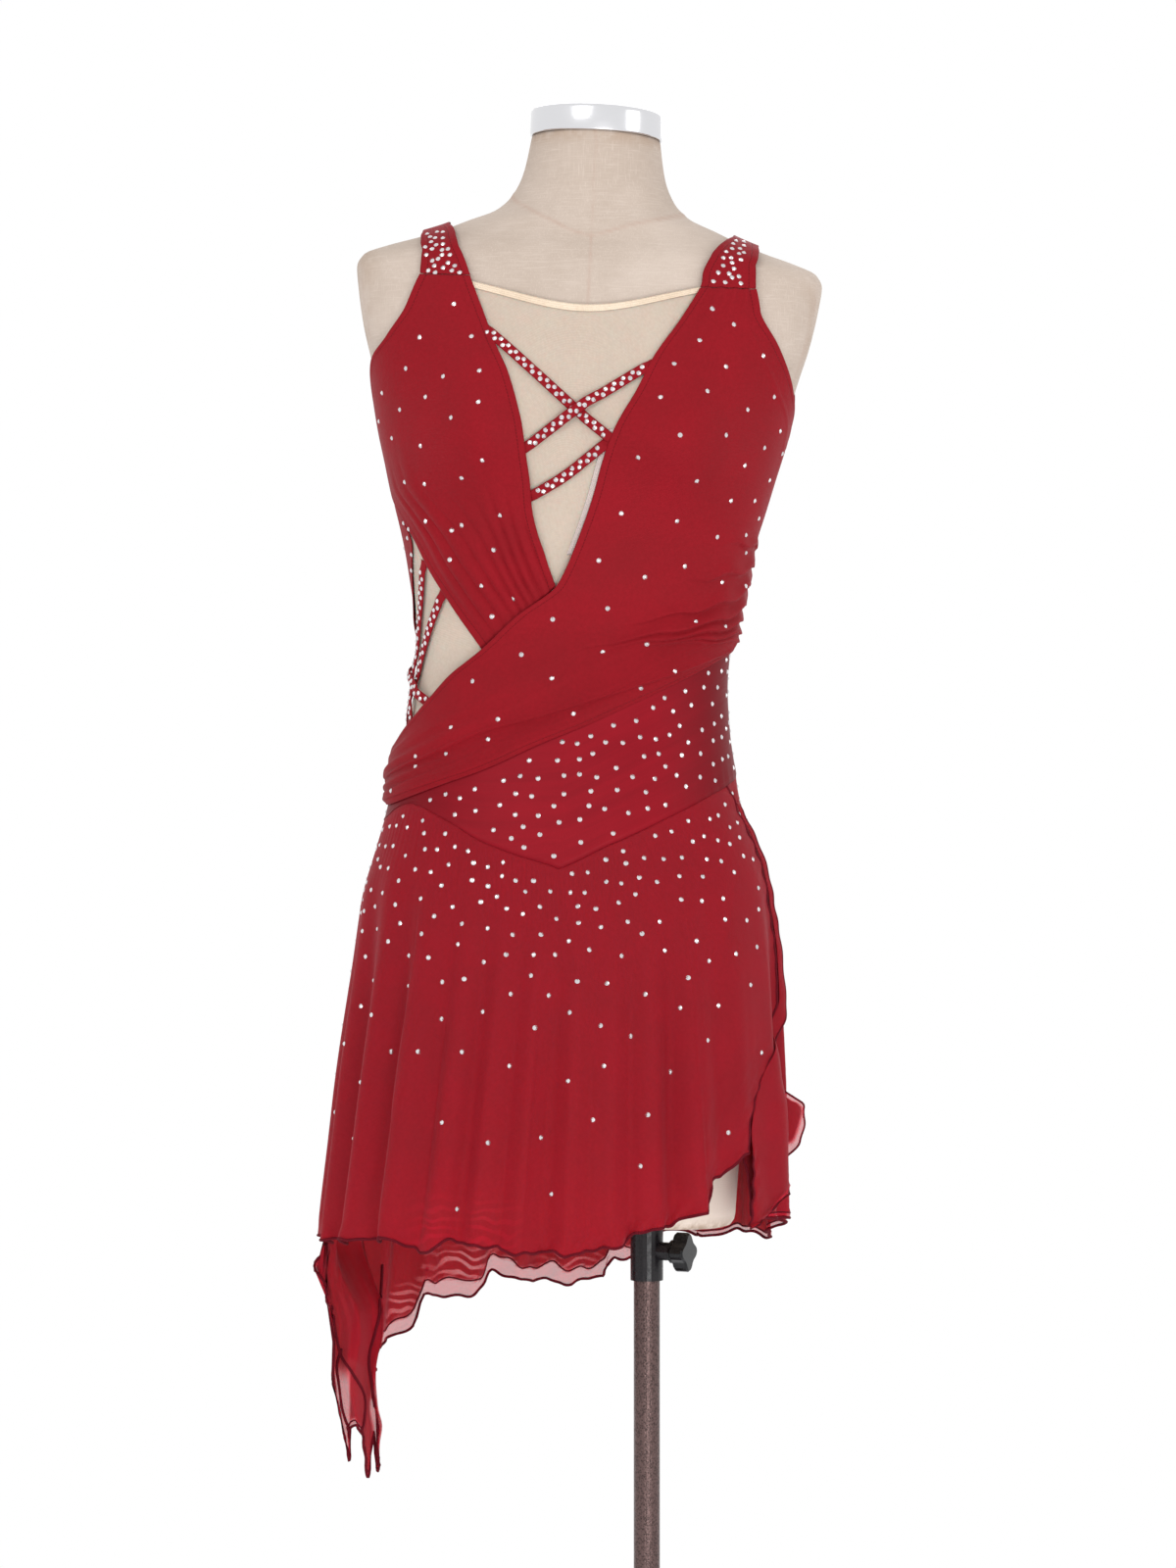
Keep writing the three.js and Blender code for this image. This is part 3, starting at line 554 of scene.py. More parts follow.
def closed_object(
    name: str,
    rings: Array,
    inside_out: bool,
    thread: Array | None = None,
    values: dict[str, Array] | None = None,
) -> Piece:
    """A closed body from rings of points, with a flat face at each end.

    Args:
        name: the object's name.
        rings: its rings in the leaning frame, one a row, whose last point is the first again.
        inside_out: whether the faces have to be turned round to face outwards.
        thread: the UV map "thread", a row for each point.
        values: point attributes by name.

    Returns:
        The object.
    """
    rows, columns = rings.shape[:2]
    cells, whole = grid_cells(rows, columns, ring=True)
    ring = np.arange(columns - 1)
    ends = [ring, ((rows - 1) * (columns - 1) + ring)[::-1]]
    if inside_out:
        cells, whole, ends = cells[:, ::-1], whole[:, ::-1], [end[::-1] for end in ends]
    uv = None if thread is None else {"thread": thread[whole.ravel()]}
    return mesh_object(name, to_world(rings[:, :-1]).reshape(-1, 3), cells, uv, values, ends)


def tube_object(name: str, path: Array, normals: Array, radius: float, sides: int = 6) -> Piece:
    """A closed tube along a path: rings p + r (cos a n + sin a b), with b across the path.

    Args:
        name: the object's name.
        path: its points in the leaning frame.
        normals: the direction in which each ring starts.
        radius: in millimetres.
        sides: corners of a ring.

    Returns:
        The object, with the length and the turn in its UV map "thread".
    """
    along = unit(np.gradient(path, axis=0))
    side = unit(np.cross(along, normals))
    high = unit(np.cross(side, along))
    angle = np.linspace(0, 2 * np.pi, sides + 1)
    reach = np.full(len(path), radius)
    reach[[0, -1]] *= TUBE_END
    ring = np.cos(angle)[None, :, None] * high[:, None] + np.sin(angle)[None, :, None] * side[:, None]
    points = path[:, None] + ring * reach[:, None, None]
    length = np.concatenate([[0], np.cumsum(np.linalg.norm(np.diff(path, axis=0), axis=-1))])
    thread = np.stack(np.broadcast_arrays(length[:, None], angle[None] * radius), -1).reshape(-1, 2)
    facing = np.cross(points[1, 0] - points[0, 0], points[0, 1] - points[0, 0])
    return closed_object(name, points, np.sum(facing * ring[0, 0]) <= 0, thread)


def turned_object(name: str, profile: Array, centre: Array, sides: int = 96) -> Piece:
    """A turned piece: a profile of radius and height carried round an axis up the lean.

    Args:
        name: the object's name.
        profile: rows of radius and height; the first and last radius close on the axis.
        centre: the foot of the axis, in the leaning frame.
        sides: corners of a ring.

    Returns:
        The object.
    """
    angle = np.linspace(0, 2 * np.pi, sides + 1)[:-1]
    reach, height = profile[1:-1, :1], profile[1:-1, 1:]
    rings = np.stack(np.broadcast_arrays(reach * np.cos(angle), reach * np.sin(angle), height), -1)
    axis = [[0, 0, profile[0, 1]], [0, 0, profile[-1, 1]]]
    points = np.concatenate([rings.reshape(-1, 3), axis]) + centre
    j, i = np.meshgrid(np.arange(len(reach) - 1) * sides, np.arange(sides), indexing="ij")
    k = (i + 1) % sides
    cells = np.stack([j + i, j + k, j + sides + k, j + sides + i], -1).reshape(-1, 4)
    foot, last = len(reach) * sides, (len(reach) - 1) * sides
    caps = [[foot, (n + 1) % sides, n] for n in range(sides)]
    caps += [[foot + 1, last + n, last + (n + 1) % sides] for n in range(sides)]
    return mesh_object(name, to_world(points), cells, caps=caps)


def stones_object(name: str, points: Array, normals: Array, radius: float, seed: int) -> Piece:
    """Flat-backed stones, each a ring of facets under a table, in a dark outer ring of painted shadow
    on a surface.

    Args:
        name: the object's name.
        points: their places in the leaning frame.
        normals: the surface's normals there.
        radius: of a stone, in millimetres.
        seed: for the way each is turned.

    Returns:
        One object with them all.
    """
    count = STONE_FACETS
    turn = np.random.default_rng(seed).uniform(0, 2 * np.pi, len(points))
    side = unit(np.cross(normals, [0.3, 0.2, 1.0]))
    other = np.cross(normals, side)
    angle = turn[:, None] + np.arange(count) * 2 * np.pi / count
    round_it = np.cos(angle)[..., None] * side[:, None] + np.sin(angle)[..., None] * other[:, None]
    rings = [
        points[:, None] + round_it * radius * reach + normals[:, None] * radius * height
        for reach, height in STONE_RINGS
    ]
    corners = np.concatenate(rings, 1)
    n = np.arange(count)
    k = (n + 1) % count
    band = np.stack([n, k, k + count, n + count], -1)
    starts = np.arange(len(points)) * len(rings) * count
    cells = (np.concatenate([band, band + count]) + starts[:, None, None]).reshape(-1, 4)
    tables = [start + 2 * count + n for start in starts]
    made = mesh_object(name, to_world(corners).reshape(-1, 3), cells, caps=tables)
    made.data.shade_flat()
    # The outer ring of facets takes the second material: painted shadow round the stone.
    setting = np.zeros(len(made.data.polygons), dtype=np.int32)
    setting[: len(cells)] = np.tile(np.repeat([1, 0], count), len(points))
    made.data.polygons.foreach_set("material_index", setting)
    return made


# ---------------------------------------------------------------- finishes
class Shader:
    """Builds one node material step by step."""

    def __init__(self, name: str) -> None:
        """Starts a material with its one surface shader."""
        self.material = bpy.data.materials.new(name)
        self.material.use_nodes = True
        self.tree = self.material.node_tree
        self.surface = self.tree.nodes["Principled BSDF"]

    def add(
        self, kind: str, settings: dict[str, object] | None = None, **inputs: object
    ) -> bpy.types.Node:
        """Adds a node.

        Args:
            kind: its type.
            settings: its own properties by name.
            inputs: values or outputs for its inputs by name; A_1 stands for input 1.

        Returns:
            The node.
        """
        node = self.tree.nodes.new(kind)
        for key, value in (settings or {}).items():
            setattr(node, key, value)
        for key, value in inputs.items():
            self.feed(node.inputs[int(key[2:])] if key.startswith("A_") else node.inputs[key], value)
        return node

    def feed(self, socket: Socket, value: object) -> None:
        """Links an output to a socket, or sets the socket's own value.

        Args:
            socket: the input.
            value: an output or a value.
        """
        if isinstance(value, Socket):
            self.tree.links.new(value, socket)
        else:
            socket.default_value = value

    def dress(self, **inputs: object) -> None:
        """Feeds the surface shader; an underscore stands for a space."""
        for key, value in inputs.items():
            self.feed(self.surface.inputs[key.replace("_", " ")], value)

    def place(self) -> Socket:
        """Object coordinates."""
        return self.add("ShaderNodeTexCoord").outputs["Object"]

    def uv(self, name: str) -> Socket:
        """The coordinates of a UV map."""
        return self.add("ShaderNodeUVMap", {"uv_map": name}).outputs["UV"]

    def value(self, name: str) -> Socket:
        """A point attribute."""
        return self.add("ShaderNodeAttribute", {"attribute_name": name}).outputs["Fac"]

    def scaled(self, vector: object, scale: Triple) -> Socket:
        """Coordinates scaled along each axis."""
        return self.add("ShaderNodeMapping", Vector=vector, Scale=scale).outputs["Vector"]

    def noise(self, vector: object, scale: float, detail: float = 3.0, rough: float = 0.5) -> Socket:
        """Cloudy noise between 0 and 1."""
        inputs = {"Vector": vector, "Scale": scale, "Detail": detail, "Roughness": rough}
        return self.add("ShaderNodeTexNoise", **inputs).outputs["Fac"]

    def bands(self, vector: object, scale: float, axis: str = "X", bend: float = 0.0) -> Socket:
        """Even bands across an axis, between 0 and 1."""
        settings = {"bands_direction": axis}
        inputs = {"Vector": vector, "Scale": scale, "Distortion": bend, "Detail": 1.0}
        return self.add("ShaderNodeTexWave", settings, **inputs).outputs["Fac"]

    def sum(self, operation: str, a: object, b: object = 0.0, c: object = 0.0) -> Socket:
        """A sum of numbers, by the name of the operation."""
        return self.add("ShaderNodeMath", {"operation": operation}, A_0=a, A_1=b, A_2=c).outputs[0]

    def range(
        self, value: object, low: float, high: float, to_low: float = 0.0, to_high: float = 1.0
    ) -> Socket:
        """A value carried smoothly from one range to another."""
        limits = {"A_1": low, "A_2": high, "A_3": to_low, "A_4": to_high}
        kind = {"interpolation_type": "SMOOTHSTEP"}
        return self.add("ShaderNodeMapRange", kind, A_0=value, **limits).outputs[0]

    def without(self, value: object) -> Socket:
        """1 less a value."""
        return self.sum("SUBTRACT", 1.0, value)

    def blend(self, share: object, a: object, b: object) -> Socket:
        """One colour over another by a share."""
        node = self.add("ShaderNodeMix", {"data_type": "RGBA"}, A_0=share, A_6=rgba(a), A_7=rgba(b))
        return node.outputs[2]

    def split(self, vector: object) -> tuple[Socket, ...]:
        """The three parts of a vector."""
        return tuple(self.add("ShaderNodeSeparateXYZ", Vector=vector).outputs)

    def bump(self, height: object, depth: float) -> Socket:
        """A normal bent by a height, whose full range is depth metres."""
        node = self.add("ShaderNodeBump", Height=height, Strength=1.0, Distance=depth)
        return node.outputs["Normal"]


def rgba(value: object) -> object:
    """A colour with its alpha, or an output as it is."""
    return value if isinstance(value, Socket) else (*value, 1.0)


ONE_BAND = 0.314  # scale at which a band texture repeats once a unit
STITCH_PITCH = 2.6  # millimetres from stitch to stitch
PALE: Triple = (1.0, 0.9, 0.8)  # sheen of the nude cloth
MOIRE_PITCH = 0.0075  # metres from band to band where two nets lie over each other


@dataclass(frozen=True)
class StretchCloth:
    """A fine stretch knit or mesh: tiny ribs, a mottled tone, a soft sheen, its cover, and painted
    light where the net is thin.
    """

    name: str
    light: Triple
    dark: Triple
    rib: float = 0.9
    rib_depth: float = 0.00012
    rough: float = 0.66
    sheen: float = 0.1
    tint: Triple = (1.0, 0.5, 0.55)
    stitched: float = 0.0
    see_through: bool = False
    # painted light: a brighter colour where the net is thin, for light that shines through it
    thin: Triple | None = None

    def build(self) -> Material:
        """Makes the material: ribs by length along the weave, stitches near the side edges, painted
        light in thin net.

        Returns:
            The material.
        """
        sh = Shader(self.name)
        weave = sh.uv("weave")
        place = sh.place()
        ribs = sh.bands(weave, ONE_BAND / self.rib, "X", 0.4)
        rows = sh.bands(weave, ONE_BAND / (self.rib * 1.25), "Y", 0.4)
        net = sh.sum("MULTIPLY", ribs, rows)
        cloud = sh.noise(place, 26.0, 4.0, 0.55)
        fine = sh.noise(place, 420.0, 2.0, 0.5)
        tone = sh.sum("MULTIPLY_ADD", cloud, 0.5, sh.sum("MULTIPLY", fine, 0.35))
        colour = sh.blend(sh.range(tone, 0.25, 0.62), self.dark, self.light)
        colour = sh.blend(sh.sum("MULTIPLY", sh.without(net), 0.16), colour, self.dark)
        height = sh.sum("MULTIPLY_ADD", fine, 0.4, net)
        if self.stitched > 0:
            near, along, _ = sh.split(sh.uv("edge"))
            away = sh.sum("ABSOLUTE", sh.sum("SUBTRACT", near, self.stitched))
            line = sh.without(sh.range(away, 0.15, 0.5))
            dash = sh.range(sh.sum("FRACT", sh.sum("DIVIDE", along, STITCH_PITCH)), 0.3, 0.36)
            stitch = sh.sum("MULTIPLY", line, dash)
            deep = tuple(0.45 * c for c in self.dark)
            colour = sh.blend(sh.sum("MULTIPLY", stitch, 0.75), colour, deep)
            height = sh.sum("MULTIPLY_ADD", line, -1.6, height)
        if self.see_through:
            sh.dress(Subsurface_Weight=0.3, Subsurface_Scale=0.004)
            sh.dress(Subsurface_Radius=(1.0, 0.08, 0.1))
            cover = self.cover(sh, place)
            # Painted light: the less the net covers, the more it turns to the brighter thin colour.
            if self.thin:
                colour = sh.blend(sh.range(cover, 0.6, 0.97, 1.0, 0.0), colour, self.thin)
            gap = sh.sum("MULTIPLY_ADD", net, 0.1, sh.sum("MULTIPLY_ADD", fine, 0.06, cover))
            sh.dress(Alpha=sh.sum("MINIMUM", gap, 1.0))
        rough = sh.range(cloud, 0.2, 0.8, self.rough - 0.06, self.rough + 0.06)
        sh.dress(
            Base_Color=colour, Roughness=rough, Normal=sh.bump(height, self.rib_depth),
            Sheen_Weight=self.sheen, Sheen_Roughness=0.35, Sheen_Tint=rgba(self.tint),
            Specular_IOR_Level=0.12,
        )
        return sh.material

    def cover(self, sh: Shader, place: Socket) -> Socket:
        """The share of light a wall stops: less in wavy bands where two nets lie over each other."""
        waves = sh.range(sh.bands(place, ONE_BAND / MOIRE_PITCH, "Z", 9.0), 0.45, 0.85)
        thinner = sh.sum("MULTIPLY", waves, sh.value("moire"))
        return sh.sum("MULTIPLY_ADD", thinner, -0.3, sh.value("cover"))


@dataclass(frozen=True)
class Satin:
    """Stretch satin: fine threads across, long soft streaks, a low gloss and painted shade at the
    sides.
    """

    name: str
    light: Triple
    dark: Triple

    def build(self) -> Material:
        """Makes the material from threads and streaks along the belt, darkened as painted shade where
        it turns away.

        Returns:
            The material.
        """
        sh = Shader(self.name)
        weave = sh.uv("weave")
        threads = sh.noise(sh.scaled(weave, (2.6, 0.05, 1)), 1.0, 2.0)
        streaks = sh.noise(sh.scaled(weave, (0.12, 0.004, 1)), 1.0, 3.0)
        cloud = sh.noise(sh.place(), 30.0, 3.0)
        tone = sh.sum("MULTIPLY_ADD", cloud, 0.25, sh.sum("MULTIPLY", threads, 0.25))
        tone = sh.sum("MULTIPLY_ADD", streaks, 0.55, tone)
        colour = sh.blend(sh.range(tone, 0.3, 0.75), self.dark, self.light)
        # Painted shade: the turned attribute darkens the satin where the belt turns away from the
        # front.
        colour = sh.blend(sh.value("turned"), colour, tuple(0.62 * c for c in self.dark))
        sh.dress(
            Base_Color=colour, Roughness=sh.range(threads, 0.2, 0.8, 0.42, 0.56), Sheen_Weight=0.02,
            Sheen_Roughness=0.3, Sheen_Tint=(1.0, 0.45, 0.5, 1.0), Specular_IOR_Level=0.1,
            Normal=sh.bump(threads, 0.00006),
        )
        return sh.material


@dataclass(frozen=True)
class Thread:
    """Serging: a dark twisted thread along an edge."""

    name: str
    light: Triple
    dark: Triple

    def build(self) -> Material:
        """Makes the material: slanting loops along the thread's own length.

        Returns:
            The material.
        """
        sh = Shader(self.name)
        loops = sh.bands(sh.scaled(sh.uv("thread"), (1.0, 0.5, 1.0)), 0.27, "X", 1.2)
        cloud = sh.noise(sh.place(), 180.0, 3.0)
        shade = sh.sum("MULTIPLY", loops, sh.range(cloud, 0.2, 0.8, 0.4, 1.0))
        colour = sh.blend(shade, self.dark, self.light)
        normal = sh.bump(loops, 0.0004)
        sh.dress(Base_Color=colour, Roughness=0.75, Normal=normal, Specular_IOR_Level=0.1)
        return sh.material


@dataclass(frozen=True)
class Linen:
    """Worn natural linen on a hard form: weave, seams, rubbed and stained places, and painted light
    on its lower end.
    """

    name: str = "linen"
    light: Triple = (0.56, 0.47, 0.405)
    dark: Triple = (0.465, 0.38, 0.318)
    stain: Triple = (0.34, 0.22, 0.14)
    piping: Triple = (0.46, 0.33, 0.27)
    slub: Triple = (0.68, 0.59, 0.52)
    # painted light: a lighter linen towards the lower end, which the skirt shades
    clean: Triple = (0.88, 0.76, 0.66)

    def build(self) -> Material:
        """Makes the material from two thread directions, clouds, the seam and stain attributes and
        painted light.

        Returns:
            The material.
        """
        sh = Shader(self.name)
        place = sh.place()

        def threads(slow: float, fast: float, detail: float) -> tuple[Socket, Socket]:
            """Noise drawn out along level threads, and the same along upright ones."""
            flat, upright = sh.scaled(place, (slow, slow, fast)), sh.scaled(place, (fast, fast, slow))
            return sh.noise(flat, 1.0, detail), sh.noise(upright, 1.0, detail)

        weave = sh.sum("MULTIPLY", sh.sum("ADD", *threads(160, 2400, 2.0)), 0.5)
        cloud = sh.noise(place, 9.0, 5.0, 0.6)
        spots = sh.noise(place, 55.0, 4.0, 0.6)
        colour = sh.blend(sh.range(cloud, 0.32, 0.68), self.dark, self.light)
        slubs = sh.sum("MAXIMUM", *threads(60, 1300, 3.0))
        colour = sh.blend(sh.range(weave, 0.35, 0.65, 0.3, 0.0), colour, self.dark)
        colour = sh.blend(sh.range(slubs, 0.5, 0.72, 0.0, 0.3), colour, self.slub)
        colour = sh.blend(sh.range(spots, 0.62, 0.78, 0.0, 0.4), colour, self.dark)
        # Painted light: the lower end is blended towards a lighter linen.
        colour = sh.blend(sh.value("clean"), colour, self.clean)
        patchy = sh.range(sh.noise(place, 48.0, 5.0, 0.65), 0.36, 0.6)
        colour = sh.blend(sh.sum("MULTIPLY", sh.value("stain"), patchy), colour, self.stain)
        frayed = sh.sum("MULTIPLY", sh.value("seam"), sh.range(spots, 0.3, 0.6, 0.25, 0.75))
        colour = sh.blend(frayed, colour, self.piping)
        sh.dress(
            Base_Color=colour, Roughness=0.85, Normal=sh.bump(weave, 0.0004), Sheen_Weight=0.05,
            Specular_IOR_Level=0.15,
        )
        return sh.material


@dataclass(frozen=True)
class Metal:
    """Bare or plated metal with faint brushing and finger marks."""

    name: str
    colour: Triple
    rough: float = 0.12
    brush: float = 0.05

    def build(self) -> Material:
        """Makes the material: fine level scratches over soft smears.

        Returns:
            The material.
        """
        sh = Shader(self.name)
        place = sh.place()
        scratch = sh.noise(sh.scaled(place, (12, 12, 900)), 1.0, 3.0)
        smear = sh.noise(place, 30.0, 4.0, 0.6)
        smeared = sh.range(smear, 0.3, 0.7, self.rough, self.rough + 0.08)
        rough = sh.sum("MULTIPLY_ADD", scratch, self.brush, smeared)
        normal = sh.bump(scratch, 0.00003)
        sh.dress(Base_Color=rgba(self.colour), Metallic=1.0, Roughness=rough, Normal=normal)
        return sh.material


@dataclass(frozen=True)
class Coating:
    """Painted or moulded plastic skin: an orange-peel or hammered surface with darker pits."""

    name: str
    light: Triple
    dark: Triple
    rough: float = 0.4
    grain: float = 300.0
    depth: float = 0.00015
    metallic: float = 0.0

    def build(self) -> Material:
        """Makes the material from cells and noise.

        Returns:
            The material.
        """
        sh = Shader(self.name)
        place = sh.place()
        cells = sh.add("ShaderNodeTexVoronoi", Vector=place, Scale=self.grain).outputs["Distance"]
        cloud = sh.noise(place, self.grain * 0.6, 3.0)
        tone = sh.sum("MULTIPLY_ADD", cells, 0.7, sh.sum("MULTIPLY", cloud, 0.5))
        colour = sh.blend(sh.range(tone, 0.3, 0.75), self.dark, self.light)
        rough = sh.range(cloud, 0.3, 0.7, self.rough - 0.06, self.rough + 0.1)
        sh.dress(
            Base_Color=colour, Metallic=self.metallic, Roughness=rough,
            Normal=sh.bump(tone, self.depth), Specular_IOR_Level=0.3,
        )
        return sh.material


@dataclass(frozen=True)
class Stone:
    """Clear cut glass on a foil: bright, with a hint of change from stone to stone."""

    name: str = "stone"

    def build(self) -> Material:
        """Makes the material: a mirror under a clear coat.

        Returns:
            The material.
        """
        sh = Shader(self.name)
        tone = sh.noise(sh.place(), 140.0, 1.0)
        sh.dress(
            Base_Color=sh.blend(tone, (0.5, 0.48, 0.5), (0.88, 0.86, 0.86)), Metallic=0.9,
            Roughness=sh.range(tone, 0.3, 0.7, 0.06, 0.22), Coat_Weight=0.3, Coat_Roughness=0.03,
        )
        return sh.material


class Finish(Enum):
    """Every finish of the dress and its stand."""

    KNIT = StretchCloth("red_knit", (0.262, 0.0043, 0.011), (0.212, 0.003, 0.008), stitched=5.5)
    SATIN = Satin("red_satin", (0.25, 0.0035, 0.011), (0.19, 0.0025, 0.0085))
    # Its thin colour is painted light: a brighter red for light shining through thin net.
    MESH = StretchCloth(
        "red_mesh", (0.255, 0.0045, 0.012), (0.215, 0.0035, 0.0095), rib=0.8, see_through=True,
        thin=(0.55, 0.01, 0.03),
    )
    NUDE = StretchCloth(
        "nude_mesh", (0.77, 0.625, 0.525), (0.72, 0.575, 0.48), rib=1.0, tint=PALE, see_through=True,
    )
    PEACH = StretchCloth(
        "peach_binding", (0.86, 0.72, 0.57), (0.75, 0.59, 0.44), rib=1.3, rib_depth=0.0005, tint=PALE,
    )
    TAPE = StretchCloth(
        "grey_tape", (0.64, 0.54, 0.5), (0.5, 0.41, 0.39), rib=1.2, rib_depth=0.0004, tint=PALE,
    )
    THREAD = Thread("serging", (0.19, 0.006, 0.016), (0.09, 0.0035, 0.009))
    LINEN = Linen()
    CHROME = Metal("chrome", (0.72, 0.72, 0.74))
    BLACK = Coating("black_metal", (0.012, 0.01, 0.012), (0.006, 0.005, 0.006), 0.3, 500.0, 0.00004)
    PLASTIC = Coating(
        "black_plastic", (0.009, 0.009, 0.01), (0.005, 0.005, 0.006), 0.14, 220.0, 0.00002,
    )
    HAMMERED = Coating(
        "hammertone", (0.125, 0.078, 0.073), (0.05, 0.032, 0.03), 0.33, 620.0, 0.0003, 0.6,
    )
    IRON = Coating("base_iron", (0.035, 0.035, 0.038), (0.018, 0.018, 0.02), 0.45, 260.0, 0.0001)
    STONE = Stone()
    # Painted shadow: the dark ring round each stone.
    RIM = Coating("stone_painted_shadow", (0.05, 0.006, 0.01), (0.025, 0.004, 0.007), 0.5, 300.0, 0.00002)


def all_materials() -> dict[Finish, Material]:
    """Every finish built once."""
    return {finish: finish.value.build() for finish in Finish}


@dataclass
class Workshop:
    """Finishes a made object and hands it to its body."""

    materials: dict[Finish, Material] = field(default_factory=all_materials)

    def fit(
        self,
        piece: Piece,
        finish: Finish,
        slot: str,
        body: str = "form",
        stands_for: Sequence[str] = (),
    ) -> Piece:
        """Gives a piece its finish and its body.

        Args:
            piece: the finished mesh object.
            finish: its finish.
            slot: the record's slot; not used.
            body: the body that it rides on.
            stands_for: the solids that it replaces.

        Returns:
            The piece.
        """
        piece.data.materials.clear()
        piece.data.materials.append(self.materials[finish])
        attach(piece, body)
        if stands_for:
            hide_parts(*stands_for)
        log.info("%s: %d points", piece.name, len(piece.data.vertices))
        return piece

    def serge(self, name: str, path: Array, normals: Array, radius: float = 1.15) -> Piece:
        """A serged edge: a thread along a path."""
        return self.fit(tube_object(name, path, normals, radius), Finish.THREAD, "red_mesh")

    def stones(self, name: str, points: Array, normals: Array, radius: float, seed: int) -> Piece:
        """Stones set on a surface, each in a dark ring of painted shadow.

        Args:
            name: the object's name.
            points: their places.
            normals: the surface's normals there.
            radius: of a stone.
            seed: for the way each is turned.

        Returns:
            The piece.
        """
        piece = self.fit(stones_object(name, points, normals, radius, seed), Finish.STONE, "chrome")
        piece.data.materials.append(self.materials[Finish.RIM])
        return piece


# ---------------------------------------------------------------- stand
@dataclass
class Stand:
    """Base, pole, clamp sleeve and knob: the solids with their finishes."""

    shop: Workshop

    def build(self) -> None:
        """Paints each solid."""
        paints = {
            "base_plate": Finish.IRON, "pole": Finish.HAMMERED, "clamp_sleeve": Finish.BLACK,
            "clamp_knob": Finish.PLASTIC,
        }
        for name, finish in paints.items():
            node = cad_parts[name]
            node.data.materials.clear()
            node.data.materials.append(self.shop.materials[finish])
            log.info("%s: solid kept", name)


# ---------------------------------------------------------------- dress form
@dataclass
class DressForm:
    """The limbless form under its linen, with the cap on its neck."""

    shop: Workshop
    round_count: int = 240
    bottom: float = -406.0
    neck_y: float = -7.0
    cap_radius: float = 50.5
    cap_foot: float = 418.3
    cap_height: float = 20.0

    def levels(self) -> Array:
        """Levels of the rings, close together over the shoulders."""
        return np.concatenate([np.linspace(418, 300, 60), np.linspace(298, -396, 140)])

    def shell(self) -> tuple[Array, Array]:
        """The linen's rings: the form's surface, rounded in at the lower end and closed at both.

        Returns:
            Points in the leaning frame, and the angle of each.
        """
        angle, level = np.meshgrid(np.linspace(0, 360, self.round_count + 1), self.levels())
        points = groove(above(form_point, angle, level, -UNDER))
        last, level = points[-1:, :, :2], np.ones((1, points.shape[1], 1))
        rounded = [
            np.concatenate([last * shrink, level * (self.bottom + up)], -1)
            for shrink, up in ((0.995, 5.5), (0.978, 1.7), (0.95, 0.2), (0.9, 0), (0.5, 0), (0.02, 0))
        ]
        top = points[:1].copy()
        top[..., :2] = top[..., :2] * 0.03 + np.array([0, self.neck_y]) * 0.97
        angle = np.vstack([angle[:1], angle, np.repeat(angle[-1:], len(rounded), 0)])
        return np.concatenate([top, points, *rounded]), angle

    def body(self) -> Piece:
        """The linen body: its seams, its stains and the painted light on its lower end are
        attributes.

        Returns:
            The piece.
        """
        points, angle = self.shell()
        level = points[..., 2]
        reach = np.abs(points[..., 0])
        crooked = 0.5 * np.sin(level / 7) + 0.4 * np.sin(level / 2.9)
        seam = np.maximum.reduce([
            (0.45 + 0.5 * (level < 340)) * ridge(points[..., 0], crooked, 1.0) * (level > -200),
            ridge(level, NECK_SEAM.level(angle), 1.2),
            0.5 * ridge(reach, SECTION.side(level) - 5.5, 0.7) * (level > 140) * (level < 312),
        ])
        stain = np.maximum(0.8 * smooth(-level, 397, 404), 0.4 * smooth(level, 405, 417))
        stain = np.maximum(stain, 0.25 * ridge(reach, 170, 8) * (level > 200))
        sheet = Sheet.facing_out(points)
        rings = sheet.raised(0.45 * seam).points
        # The third attribute is painted light: lighter linen from 270 to 330 mm below the waist.
        values = {"seam": seam, "stain": stain, "clean": smooth(-level, 270, 330)}
        values = {label: numbers[:, :-1] for label, numbers in values.items()}
        made = closed_object("linen_form", rings, sheet.outward < 0, values=values)
        return self.shop.fit(made, Finish.LINEN, "linen", stands_for=["form_body"])

    def cap(self) -> None:
        """The chrome cap with its rolled upper edge, and the button on it."""
        r, h = self.cap_radius, self.cap_height
        profile = np.array([
            [0, 0], [r - 1.2, 0], [r - 0.3, 0.3], [r, 1.2], [r, h - 3.4], [r - 0.15, h - 2.2],
            [r - 0.8, h - 1], [r - 2.2, h - 0.2], [r - 6, h], [r - 9, h - 0.35], [r - 20, h], [0, h],
        ])
        foot = np.array([0, self.neck_y, self.cap_foot])
        cap = turned_object("neck_cap_chrome", profile, foot, 128)
        self.shop.fit(cap, Finish.CHROME, "chrome", stands_for=["neck_cap"])
        button = np.array([
            [0, 0], [4.2, 0], [4.2, 1.0], [3.9, 1.6], [3.0, 2.4], [1.6, 2.9], [0, 3.0],
        ])
        made = turned_object("cap_button_dark", button, foot + np.array([0, 0, h + 0.1]), 40)
        self.shop.fit(made, Finish.BLACK, "black_metal", stands_for=["cap_button"])

    def build(self) -> None:
        """Makes the body and the cap."""
        self.body()
        self.cap()


